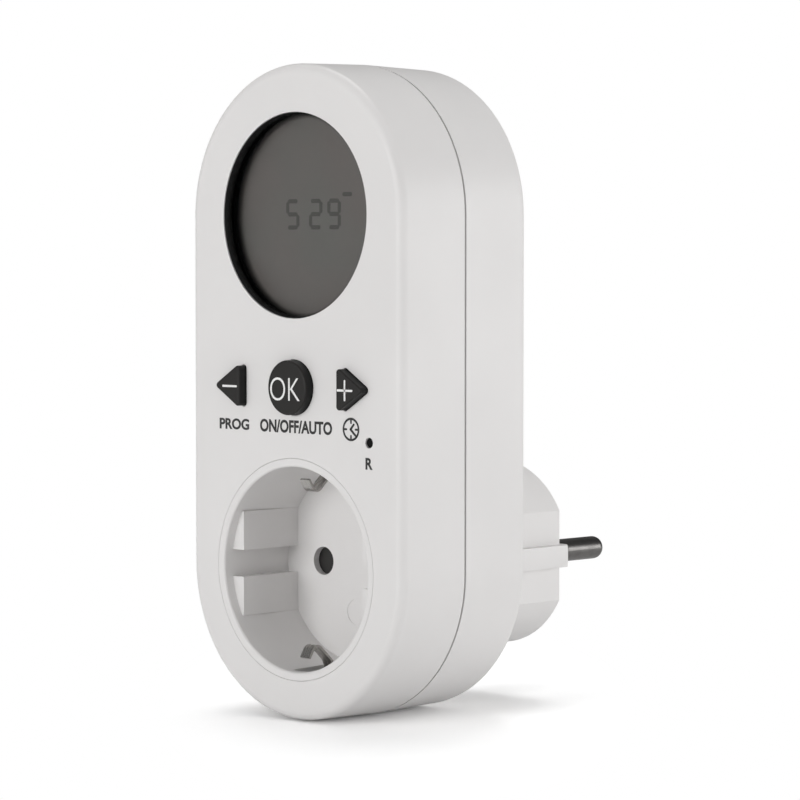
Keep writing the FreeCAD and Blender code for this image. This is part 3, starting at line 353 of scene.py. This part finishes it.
def clear_selection():
    bpy.ops.object.select_all(action="DESELECT")


def select_only(*pieces):
    clear_selection()
    for piece in pieces:
        piece.select_set(True)
    bpy.context.view_layer.objects.active = pieces[0]


def rename(piece, name):
    piece.name = name
    piece.data.name = name


def bake_place(piece):
    """Moves the piece's place into its mesh."""
    select_only(piece)
    bpy.ops.object.transform_apply(location=True, rotation=True, scale=True)


def stand_up(piece, across, face, up, scale=(1, 1, 1)):
    """Turns a flat drawing upright, facing the front, and puts its zero point on a face."""
    piece.scale = scale
    piece.rotation_euler = (math.pi / 2, 0, 0)
    piece.location = (across, face, up)
    bake_place(piece)


def thicken(depth):
    """In edit mode: gives the flat drawing its depth and turns its faces outwards."""
    bpy.ops.mesh.select_all(action="SELECT")
    bpy.ops.mesh.extrude_region_move(TRANSFORM_OT_translate={"value": (0, 0, depth)})
    bpy.ops.mesh.select_all(action="SELECT")
    bpy.ops.mesh.normals_make_consistent(inside=False)


def flat_bar(start, end, width, depth, corners):
    """A bar drawn on the ground plane from one point to another, its ends pointed or round."""
    clear_selection()
    bpy.ops.mesh.primitive_circle_add(vertices=corners, radius=width / 2, fill_type="NGON")
    bar = bpy.context.object
    run = Vector(end) - Vector(start)
    # the corners above the middle move to the bar's far end
    middle = width / 100
    bpy.ops.object.mode_set(mode="EDIT")
    bpy.ops.mesh.select_all(action="DESELECT")
    bpy.ops.object.mode_set(mode="OBJECT")
    for vertex in bar.data.vertices:
        vertex.select = vertex.co.y > middle
    bpy.ops.object.mode_set(mode="EDIT")
    bpy.ops.transform.translate(value=(0, run.length, 0))
    thicken(depth)
    bpy.ops.object.mode_set(mode="OBJECT")
    bar.rotation_euler = (0, 0, math.atan2(run.y, run.x) - math.pi / 2)
    bar.location = (start[0], start[1], 0)
    bake_place(bar)
    return bar


def flat_ring(radius, width, depth):
    """A flat ring round the origin of the ground plane."""
    clear_selection()
    bpy.ops.mesh.primitive_circle_add(vertices=RING_SIDES, radius=radius, fill_type="NGON")
    ring = bpy.context.object
    bpy.ops.object.mode_set(mode="EDIT")
    bpy.ops.mesh.inset(thickness=width)
    bpy.ops.mesh.delete(type="FACE")
    thicken(depth)
    bpy.ops.object.mode_set(mode="OBJECT")
    return ring


def united(name, pieces):
    select_only(*pieces)
    if len(pieces) > 1:
        bpy.ops.object.join()
    whole = bpy.context.view_layer.objects.active
    rename(whole, name)
    return whole


def drawn_word(name, words, centre, size, face, depth, weight):
    """Words as a thin solid half sunk in a face, fitted to a width, a height and a depth."""
    clear_selection()
    bpy.ops.object.text_add()
    text = bpy.context.object
    text.data.body = words
    # any thickness does here, because the scale below sets the depth
    text.data.extrude = 0.5
    text.data.resolution_u = LETTER_STEPS
    text.data.offset = weight
    bpy.ops.object.convert(target="MESH")
    piece = bpy.context.object
    corners = [vertex.co for vertex in piece.data.vertices]
    low = Vector([min(corner[axis] for corner in corners) for axis in range(3)])
    high = Vector([max(corner[axis] for corner in corners) for axis in range(3)])
    piece.data.transform(Matrix.Translation(-(low + high) / 2))
    span = high - low
    scale = (size[0] / span.x, size[1] / span.y, depth / span.z)
    stand_up(piece, centre[0], face, centre[1], scale)
    rename(piece, name)
    return piece


def settle(piece, body, finish):
    """A finished piece rides on its body and takes its finish."""
    finish.give(piece.name)
    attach(piece, body)


# Finishes

SHELL_CLOUDS = 28 * MM
CUP_CLOUDS = 31 * MM


def moulded(name, colour, roughness, grain, clouds_size=SHELL_CLOUDS, gloss=0.45):
    """Moulded plastic: fine grain of the mould, faint clouding of colour and gloss."""
    finish = Finish(name, colour, roughness, Specular_IOR_Level=gloss)
    clouds = finish.noise(clouds_size, detail=3.0)
    fine = finish.noise(grain)
    finish.darken(finish.ramp(clouds, low=0.35, high=0.7), amount=0.028)
    finish.dull(finish.blend(clouds, fine, weight=0.6), amount=0.16)
    finish.relief(fine, depth=0.006 * MM)
    return finish


def plated(name, colour, roughness, stretch, depth):
    """Plated or drawn metal with fine lines along its length and a few dull patches."""
    finish = Finish(name, colour, roughness, Metallic=1.0)
    lines = finish.noise(0.25 * MM, stretch=stretch)
    patches = finish.noise(2.5 * MM, detail=3.0)
    finish.darken(finish.ramp(patches, low=0.45, high=0.75), amount=0.22)
    finish.dull(finish.blend(lines, patches, weight=0.7), amount=0.22)
    finish.relief(lines, depth)
    return finish


def enamelled(name, colour, roughness, size):
    """Dipped or lacquered parts: an uneven glossy skin."""
    finish = Finish(name, colour, roughness, Coat_Weight=0.4, Coat_Roughness=0.12)
    lumps = finish.noise(size)
    finish.darken(finish.ramp(lumps, low=0.3, high=0.8), amount=0.15)
    finish.dull(lumps, amount=0.15)
    finish.relief(lumps, depth=size / 60)
    return finish


def ink(name, colour, roughness):
    """Screen-printed ink: thin, with a slightly mottled edge and gloss."""
    finish = Finish(name, colour, roughness, Specular_IOR_Level=0.4)
    specks = finish.noise(0.3 * MM, detail=3.0)
    worn = opaque(c * 0.8 + 0.02 for c in colour)
    finish.recolour(finish.ramp(specks, low=0.4, high=0.75), worn)
    finish.dull(specks, amount=0.15)
    return finish


class DressHousing(bpy.types.Operator):
    """Finish the two shells, the socket cup, the contact base and the shutter"""
    bl_idname = "timer.dress_housing"
    bl_label = "Housing"

    base_tone: share("Base tone", "Share of the shell's colour that the contact base has", 0.9)
    base_roughness: share("Base roughness", "How dull the contact base is", 0.5)
    shutter_roughness: share("Shutter roughness", "How dull the shutter is", 0.4)

    def execute(self, context):
        look = settings("housing")
        shell = moulded("shell_plastic", look.colour, look.roughness, look.grain)
        shell.give("front_shell", "rear_shell")
        cup = moulded("cup_plastic", look.colour, look.roughness, look.grain, CUP_CLOUDS)
        cup.give("socket_cup")
        base_colour = [c * self.base_tone for c in look.colour]
        base = moulded("base_plastic", base_colour, self.base_roughness, look.grain)
        base.give("contact_base")
        shutter = moulded("shutter_plastic", look.shutter_colour, self.shutter_roughness,
                          look.grain)
        shutter.give("shutter")
        return {"FINISHED"}


class DressKeys(bpy.types.Operator):
    """Finish the three keys, their stems and the push switches below them"""
    bl_idname = "timer.dress_keys"
    bl_label = "Keys and switches"

    # painted shade: between these depths below the face, the keys' sides darken to near black
    side_shade_start: length("Side start", "Depth at which a key's colour starts to deepen", 0.15 * MM)
    side_shade_end: length("Side end", "Depth from which a key's side is black", 0.55 * MM)

    def execute(self, context):
        look = settings("housing")
        keys = moulded("key_plastic", look.key_colour, roughness=0.46, grain=0.28 * MM, gloss=0.28)
        rubbed = keys.noise(1.6 * MM, detail=4.0)
        keys.recolour(keys.ramp(rubbed, low=0.62, high=0.8), opaque(look.rubbed_colour))
        # only the faces are rubbed; the sides get painted shade, deepening to near black below the
        # face
        below = keys.along(keys.place, "Y") - KEY_FACE
        side_shade = keys.smooth(below, self.side_shade_start, self.side_shade_end)
        keys.recolour(side_shade, opaque(look.key_side_painted_shade))
        keys.give("minus_button", "ok_button", "plus_button")
        stems = moulded("stem_plastic", (0.60, 0.58, 0.53), roughness=0.5, grain=0.3 * MM)
        stems.give("minus_stem", "ok_stem", "plus_stem")
        switches = moulded("switch_plastic", (0.003, 0.003, 0.003), roughness=0.6,
                           grain=0.3 * MM, gloss=0.12)
        switches.give("push_switches", "reset_stem")
        return {"FINISHED"}


class DressDisplay(bpy.types.Operator):
    """Finish the lens, its dark frame, the display panel and the parts behind it"""
    bl_idname = "timer.dress_display"
    bl_label = "Display"

    def execute(self, context):
        look = settings("display")
        self.lens(look)
        black = moulded("frame_plastic", (0.008, 0.008, 0.008), roughness=0.55, grain=0.25 * MM)
        black.give("display_frame")
        self.panel(look)
        self.inside()
        return {"FINISHED"}

    def lens(self, look):
        """Clear, with a little gloss; its edge is black, which hides the white wall behind it, and
        the black fades inwards as painted shade of the window's wall, wider on the left.
        """
        lens = Finish("lens_plastic", (0.005, 0.005, 0.005), roughness=0.12,
                      Specular_IOR_Level=0.25)
        lens.dull(lens.noise(9 * MM, detail=4.0, stretch=(1, 1, 2.5)), amount=0.10)
        clear = lens.node("ShaderNodeBsdfTransparent", None, {"Color": (0.93, 0.935, 0.93, 1.0)})
        gloss = lens.node("ShaderNodeFresnel", None, {"IOR": 1.49})
        inside = lens.node("ShaderNodeNewGeometry", output="Backfacing")
        flat = lens.vector_maths("MULTIPLY", 0, lens.place, (1, 0, 1))
        # painted shade: the clear part stands to the right, so the dark band is wider on the left
        centre = (look.painted_shade_shift, 0, LENS_CENTRE)
        reach = lens.vector_maths("DISTANCE", 1, flat, centre)
        edge = lens.smooth(reach, look.clear_radius, look.black_radius)
        lens.cover(lens.maths("MAXIMUM", gloss * (1 - inside), edge), first=clear)
        lens.give("display_lens")

    def panel(self, look):
        """Grey glass with warmer patches and a fine haze."""
        panel = Finish("panel_glass", look.panel_colour, roughness=0.34, Specular_IOR_Level=0.35)
        patches = panel.ramp(panel.noise(16 * MM), low=0.35, high=0.7)
        haze = panel.noise(0.2 * MM, detail=1.0)
        panel.recolour(patches, opaque(look.panel_blush)).dull(haze, amount=0.08)
        panel.relief(haze, depth=0.002 * MM).give("lcd_panel")

    def inside(self):
        """The film behind the panel and the layered rubber strip that joins it to the board."""
        film = Finish("backing_film", (0.50, 0.52, 0.46), roughness=0.4, Specular_IOR_Level=0.5)
        film.relief(film.noise(0.6 * MM), depth=0.01 * MM).dull(film.noise(4 * MM), amount=0.1)
        film.give("lcd_backing")
        rubber = Finish("strip_rubber", (0.26, 0.11, 0.12), roughness=0.6)
        layers = rubber.ramp(rubber.bands("X", 0.18 * MM), low=0.45, high=0.55)
        rubber.recolour(layers, opaque((0.02, 0.02, 0.02))).give("contact_strip")


# Each metal finish: its name, its colour's setting, how dull it is, how far its lines are drawn
# out along X, Y and Z, the depth of the lines in millimetres, and the nodes that have it
METAL_PARTS = [
    ("pin_plating", "pin_colour", 0.36, (1, 30, 1), 0.0015, ["neutral_pin", "line_pin"]),
    ("clip_plating", "clip_colour", 0.27, (1, 14, 14), 0.003,
     ["earth_clip_strap", "earth_bar_strap", "earth_rivet"]),
    ("contact_brass", "brass_colour", 0.3, (1, 12, 12), 0.003,
     ["neutral_contact", "line_contact", "neutral_strip", "line_strip"]),
    ("screw_steel", "steel_colour", 0.33, (1, 4, 1), 0.003, ["housing_screws", "board_screws"]),
    ("spring_steel", "steel_colour", 0.28, (1, 1, 1), 0.001, ["shutter_spring"]),
    ("cell_plating", "steel_colour", 0.25, (1, 1, 9), 0.002, ["backup_battery"]),
    ("can_steel", "steel_colour", 0.22, (9, 1, 1), 0.002, ["clock_crystal"]),
]


class DressMetal(bpy.types.Operator):
    """Finish the pins, earth clips, contacts, screws, cans and the shutter's spring"""
    bl_idname = "timer.dress_metal"
    bl_label = "Metal parts"

    def execute(self, context):
        look = settings("metal")
        for name, colour, roughness, stretch, depth, nodes in METAL_PARTS:
            plated(name, getattr(look, colour), roughness, stretch, depth * MM).give(*nodes)
        return {"FINISHED"}


# Each enamelled part: its finish, its colour, how dull it is, the size of its lumps in
# millimetres, and its node
ENAMELLED_PARTS = [
    ("chip_resin", (0.014, 0.014, 0.015), 0.28, 3, "control_chip"),
    ("film_case", (0.50, 0.27, 0.025), 0.34, 4, "dropper_capacitor"),
    ("sleeve_film", (0.018, 0.028, 0.09), 0.3, 6, "smoothing_capacitor"),
    ("disc_resin", (0.020, 0.085, 0.26), 0.32, 1.5, "varistor"),
    ("resistor_enamel", (0.34, 0.44, 0.50), 0.38, 2, "power_resistor"),
]

# Each plastic finish inside: its name, its colour, the size of its grain in millimetres, its nodes
PLASTIC_PARTS = [
    ("relay_case", (0.022, 0.055, 0.19), 0.4, ["relay"]),
    ("neutral_sleeve", (0.016, 0.065, 0.30), 0.5, ["neutral_wire"]),
    ("live_sleeve", (0.135, 0.050, 0.018), 0.5, ["line_in_wire", "line_out_wire"]),
]
PLASTIC_ROUGHNESS = 0.38


class DressElectronics(bpy.types.Operator):
    """Finish the two boards and the parts, wires and cable between them"""
    bl_idname = "timer.dress_electronics"
    bl_label = "Electronics"

    board_colour: tint("Board", "Colour of the boards' lacquer", (0.030, 0.115, 0.045))
    track_colour: tint("Tracks", "Colour of the tracks under the lacquer", (0.052, 0.185, 0.070))
    track_pitch: length("Track pitch", "How far apart the boards' tracks run", 4.2 * MM)
    track_wander: share("Track wander", "How unevenly the boards' tracks run", 0.55)
    thread: length("Thread", "Width of the threads in the boards' weave", 0.5 * MM)
    band_place: length("Band place", "From a diode's end to the middle of its band", 0.9 * MM)
    band_half: length("Band half", "Half the width of a diode's band", 0.35 * MM)
    band_colour: tint("Band", "Colour of a diode's band", (0.55, 0.55, 0.54))
    core_pitch: length("Core pitch", "Width of one core of the ribbon cable", 1.27 * MM)

    def execute(self, context):
        self.boards()
        for name, colour, roughness, lump, node in ENAMELLED_PARTS:
            enamelled(name, colour, roughness, lump * MM).give(node)
        for name, colour, grain, nodes in PLASTIC_PARTS:
            moulded(name, colour, PLASTIC_ROUGHNESS, grain * MM).give(*nodes)
        self.diodes()
        self.ribbon()
        return {"FINISHED"}

    def boards(self):
        """Green lacquer over tracks and a fine weave."""
        board = Finish("board_laminate", self.board_colour, roughness=0.36, Coat_Weight=0.3)
        threads = [board.bands(axis, self.thread) for axis in "XZ"]
        weave = board.blend(*threads, weight=0.5)
        cells = board.node("ShaderNodeTexVoronoi",
                           {"feature": "DISTANCE_TO_EDGE", "distance": "MANHATTAN"},
                           {"Vector": board.place, "Scale": 1 / self.track_pitch,
                            "Randomness": self.track_wander})
        tracks = board.ramp(cells, low=0.07, high=0.1, start=1.0, end=0.0)
        board.recolour(tracks, opaque(self.track_colour))
        board.relief(weave, depth=0.004 * MM).relief(tracks, depth=0.02 * MM)
        board.give("control_board", "power_board")

    def diodes(self):
        """Dull black bodies with a pale band round one end."""
        diode = moulded("diode_resin", (0.018, 0.018, 0.018), roughness=0.4, grain=0.3 * MM)
        across = diode.along(diode.place, "X")
        band = diode.maths("COMPARE", across, DIODE_START + self.band_place, self.band_half)
        diode.recolour(band, opaque(self.band_colour)).give("rectifier_diodes")

    def ribbon(self):
        """Pale flat cable with a ridge for each core."""
        ribbon = Finish("ribbon_plastic", (0.40, 0.40, 0.39), roughness=0.42)
        ribbon.relief(ribbon.bands("X", self.core_pitch), depth=0.35 * MM)
        ribbon.dull(ribbon.noise(3 * MM), amount=0.1).give("ribbon_cable")


# Print

# Each word, its centre across and up, and its width and height, in millimetres
WORDS = [
    ("legend_program", "PROG", (-17.35, 28.45), (8.75, 2.25)),
    ("legend_mode", "ON/OFF/AUTO", (0.55, 28.5), (20.6, 2.6)),
    ("legend_reset", "R", (21.1, 22.05), (1.95, 2.3)),
]
WORD_ROUGHNESS = 0.5


class PrintFrontWords(bpy.types.Operator):
    """Print the plain words under the keys and the letter under the reset hole"""
    bl_idname = "timer.print_front_words"
    bl_label = "Words"

    def execute(self, context):
        look = settings("print")
        black = ink("housing_ink", look.ink_colour, WORD_ROUGHNESS)
        for name, words, centre, size in WORDS:
            piece = drawn_word(name, words, [c * MM for c in centre], [s * MM for s in size],
                               FRONT_FACE, look.ink_depth * 2, look.weight)
            settle(piece, "housing", black)
        return {"FINISHED"}


class PrintClock(bpy.types.Operator):
    """Print the small clock under the right key"""
    bl_idname = "timer.print_clock"
    bl_label = "Clock mark"

    radius: length("Radius", "Outer radius of the clock mark", 2.3 * MM)
    ring: length("Ring", "Width of the clock's ring", 0.44 * MM)
    across: length("Across", "Place across", 16.12 * MM)
    up: length("Up", "Place up", 28.56 * MM)

    # where both hands start, and where each ends
    hands_start = Vector((-0.12 * MM, 0.0))
    hands = [Vector((1.40, -1.30)) * MM, Vector((0.75, 0.95)) * MM]
    # width of the hands, and where the ticks start inside the outer edge, both in ring widths
    hand_width = 1.15
    tick_start = 1.3
    # the ticks end at this share of the radius at which they start
    tick_end = 0.74

    def execute(self, context):
        look = settings("print")
        depth = look.ink_depth * 2
        inner = self.radius - self.ring * self.tick_start
        parts = [flat_ring(self.radius, self.ring, depth)]
        for turn in range(4):
            angle = turn * math.pi / 2
            start = Vector((math.cos(angle), math.sin(angle))) * inner
            parts.append(flat_bar(start, start * self.tick_end, self.ring, depth, ROUND_BAR))
        width = self.ring * self.hand_width
        for hand in self.hands:
            parts.append(flat_bar(self.hands_start, hand, width, depth, ROUND_BAR))
        clock = united("legend_clock", parts)
        stand_up(clock, self.across, FRONT_FACE + look.ink_depth, self.up)
        black = ink("clock_ink", look.ink_colour, WORD_ROUGHNESS)
        settle(clock, "housing", black)
        return {"FINISHED"}


# Places of the marks on the keys, across and up
MINUS_PLACE = (-16.6 * MM, KEY_HEIGHT - 0.12 * MM)
PLUS_PLACE = (16.35 * MM, KEY_HEIGHT - 0.1 * MM)
OK_PLACE = (-0.45 * MM, KEY_HEIGHT - 0.3 * MM)
# Width and height of OK, and half the width and height of the plus, without its round ends
OK_SIZE = (8.45 * MM, 4.6 * MM)
ARM_ACROSS, ARM_UP = 1.93 * MM, 1.85 * MM
KEY_INK_ROUGHNESS = 0.42


class PrintKeyMarks(bpy.types.Operator):
    """Print minus, OK and plus on the keys"""
    bl_idname = "timer.print_key_marks"
    bl_label = "Key marks"

    def execute(self, context):
        look = settings("print")
        depth = look.ink_depth * 2
        white = ink("key_ink", look.key_ink_colour, KEY_INK_ROUGHNESS)

        def arm(across, up):
            return flat_bar((-across, -up), (across, up), look.stroke, depth, ROUND_BAR)

        def mark(name, arms, place, body):
            piece = united(name, arms)
            stand_up(piece, place[0], KEY_FACE + look.ink_depth, place[1])
            settle(piece, body, white)

        mark("mark_minus", [arm(ARM_ACROSS, 0)], MINUS_PLACE, "minus_key")
        mark("mark_plus", [arm(ARM_ACROSS, 0), arm(0, ARM_UP)], PLUS_PLACE, "plus_key")
        word = drawn_word("mark_ok", "OK", OK_PLACE, OK_SIZE, KEY_FACE, depth, look.key_weight)
        settle(word, "ok_key", white)
        return {"FINISHED"}


# Segments of a figure as ends on a grid one wide and two high, and those that each figure shows
SEGMENTS = {
    "a": ((0, 2), (1, 2)), "b": ((1, 2), (1, 1)), "c": ((1, 1), (1, 0)), "d": ((0, 0), (1, 0)),
    "e": ((0, 0), (0, 1)), "f": ((0, 1), (0, 2)), "g": ((0, 1), (1, 1)),
}
FIGURES = {
    "0": "abcdef", "1": "bc", "2": "abged", "3": "abgcd", "4": "fgbc",
    "5": "afgcd", "6": "afgecd", "7": "abc", "8": "abcdefg", "9": "abcdfg",
}


class AddFigures(bpy.types.Operator):
    """Add the display's plain figures in front of the panel"""
    bl_idname = "timer.add_figures"
    bl_label = "Display figures"

    left: length("Left", "Left edge of the first figure", -6.0 * MM)
    low: length("Low", "Foot of the figures", 67.55 * MM)
    pitch: length("Pitch", "From one figure to the next", 5.2 * MM)
    gap: length("Gap", "Width of the gap between hours and minutes", 1.35 * MM)

    # depth of the figures
    depth = 0.04 * MM
    # a segment stops short of its corner by this many times half its width
    corner_gap = 1.15
    # both ends of the small bar above the last figure
    small_bar = [(10.5 * MM, 6.95 * MM), (12.3 * MM, 6.95 * MM)]

    def execute(self, context):
        look = settings("display")
        half = look.segment_width / 2
        wide = look.digit_width - look.segment_width
        tall = (look.digit_height - look.segment_width) / 2
        shorten = half * self.corner_gap

        def bar(start, end):
            return flat_bar(start, end, look.segment_width, self.depth, POINTED_BAR)

        bars = []
        left = self.left
        for figure in look.reading:
            if figure == " ":
                left += self.gap
                continue
            for name in FIGURES[figure]:
                first, last = [Vector((left + half + x * wide, half + y * tall))
                               for x, y in SEGMENTS[name]]
                inset = (last - first).normalized() * shorten
                bars.append(bar(first + inset, last - inset))
            left += self.pitch
        bars.append(bar(*self.small_bar))
        figures = united("display_figures", bars)
        # a quarter of the figures' depth is sunk in the panel
        stand_up(figures, 0, PANEL_FACE + self.depth / 4, self.low)
        film = Finish("figure_film", look.digit_colour, roughness=0.4, Specular_IOR_Level=0.3)
        film.dull(film.noise(0.4 * MM), amount=0.1)
        settle(figures, "housing", film)
        return {"FINISHED"}


# Studio

# Each soft lamp: its place, its width and its power in watts; all point at the middle of the object
LAMPS = {
    "lamp_front": ((-0.2, -1.75, 0.08), 1.0, 21.4),
    "lamp_side": ((1.75, 0.05, 0.08), 1.0, 9.2),
    "lamp_back": ((1.3, 1.2, 0.08), 1.0, 15.0),
    "lamp_top": ((-0.35, 0.35, 1.7), 0.9, 10.0),
}
LAMP_TARGET = Vector((0, -0.03, 0.035))

FLOOR_WIDTH = 12.0
FLOOR_GAP = 0.05 * MM
# shares of the shadow's reach between which the floor turns plain white
SHADOW_FADE = (0.45, 1.0)
# how far towards the back a direction points where what gloss mirrors starts and stops to fall
GLOSS_TURN = (-0.1, 0.45)


class SetStage(bpy.types.Operator):
    """Set the floor, the sky, the lamps and the camera"""
    bl_idname = "timer.set_stage"
    bl_label = "Studio"

    def execute(self, context):
        look = settings("studio")
        self.floor(look)
        self.sky(context, look)
        for name, (place, width, power) in LAMPS.items():
            self.lamp(context, name, place, width, power)
        self.camera(context, look)
        context.scene.view_settings.view_transform = "Standard"
        return {"FINISHED"}

    def floor(self, look):
        """Lit in an oval round the object, long towards the camera, and plain white beyond it."""
        clear_selection()
        bpy.ops.mesh.primitive_grid_add(x_subdivisions=4, y_subdivisions=4, size=FLOOR_WIDTH,
                                        location=(0, 0, LOWEST - FLOOR_GAP))
        floor = bpy.context.object
        floor.name = "floor"
        paint = Finish("floor_paint", look.floor_colour, roughness=0.85, Specular_IOR_Level=0.1)
        seen = paint.ray("Camera")
        paint.recolour(seen, opaque([look.floor_gain] * 3))
        turn = (0, 0, math.radians(look.azimuth))
        oval = paint.node("ShaderNodeMapping", {"vector_type": "TEXTURE"},
                          {"Vector": paint.place, "Location": look.shadow_centre,
                           "Rotation": turn, "Scale": look.shadow_reach})
        far = paint.smooth(paint.vector_maths("LENGTH", 1, oval), *SHADOW_FADE)
        white = paint.node("ShaderNodeEmission", None, {"Color": WHITE, "Strength": 1.0})
        paint.cover(seen * far, second=white)
        paint.give("floor")

    def sky(self, context, look):
        """White to the camera, even for diffuse light, and for gloss brighter in front."""
        world = bpy.data.worlds.new("studio_sky")
        world.use_nodes = True
        context.scene.world = world
        air = Graph(world.node_tree)
        background = air.tree.nodes["Background"]
        background.inputs["Color"].default_value = WHITE
        behind = air.along(air.node("ShaderNodeTexCoord", output="Generated"), "Y")
        gloss = air.smooth(behind, *GLOSS_TURN, look.gloss_front, look.gloss_back)
        shiny = air.ray("Glossy")
        white = air.maths("MAXIMUM", air.ray("Camera"), air.ray("Transmission"))
        level = shiny * gloss + (1 - shiny) * look.sky
        air.plug(background.inputs["Strength"], white + (1 - white) * level)

    def lamp(self, context, name, place, width, power):
        light = bpy.data.lights.new(name, "AREA")
        light.shape = "RECTANGLE"
        light.size = light.size_y = width
        light.energy = power
        lamp = bpy.data.objects.new(name, light)
        context.scene.collection.objects.link(lamp)
        lamp.location = place
        lamp.rotation_euler = (LAMP_TARGET - lamp.location).to_track_quat("-Z", "Y").to_euler()

    def camera(self, context, look):
        turn, rise = math.radians(look.azimuth), math.radians(look.elevation)
        level = math.cos(rise)
        back = Vector((math.sin(turn) * level, -math.cos(turn) * level, math.sin(rise)))
        data = bpy.data.cameras.new("photo_camera")
        data.lens = look.lens
        data.sensor_width = 36.0
        data.clip_start, data.clip_end = 0.01, 20.0
        camera = bpy.data.objects.new("photo_camera", data)
        context.scene.collection.objects.link(camera)
        camera.location = Vector(look.target) + back * look.distance
        camera.rotation_euler = (-back).to_track_quat("-Z", "Y").to_euler()
        context.scene.camera = camera


# Add-on

OPERATORS = [
    DressHousing, DressKeys, DressDisplay, DressMetal, DressElectronics,
    PrintFrontWords, PrintClock, PrintKeyMarks, AddFigures, SetStage,
]
GROUPS = {
    "housing": HousingFinish, "display": DisplayFinish, "print": PrintFinish, "metal": MetalFinish,
    "studio": StudioSettings,
}


class TimerPanel(bpy.types.Panel):
    """Buttons for each piece of the timer switch, with the settings that they read"""
    bl_idname = "VIEW3D_PT_timer_switch"
    bl_label = "Timer switch"
    bl_space_type = "VIEW_3D"
    bl_region_type = "UI"
    bl_category = "Timer switch"

    def draw(self, context):
        for operator in OPERATORS:
            self.layout.operator(operator.bl_idname)
        for name, group in GROUPS.items():
            box = self.layout.box()
            box.label(text=name.capitalize())
            for setting in group.__annotations__:
                box.prop(settings(name), setting)


def register():
    for group in GROUPS.values():
        bpy.utils.register_class(group)
    for operator in OPERATORS:
        bpy.utils.register_class(operator)
    bpy.utils.register_class(TimerPanel)
    for name, group in GROUPS.items():
        setattr(bpy.types.Scene, "timer_" + name, PointerProperty(type=group))


def unregister():
    for name in GROUPS:
        delattr(bpy.types.Scene, "timer_" + name)
    for item in [TimerPanel] + OPERATORS + list(GROUPS.values()):
        bpy.utils.unregister_class(item)


def main():
    register()
    for operator in OPERATORS:
        module, name = operator.bl_idname.split(".")
        getattr(getattr(bpy.ops, module), name)()


if __name__ == "__main__":
    main()
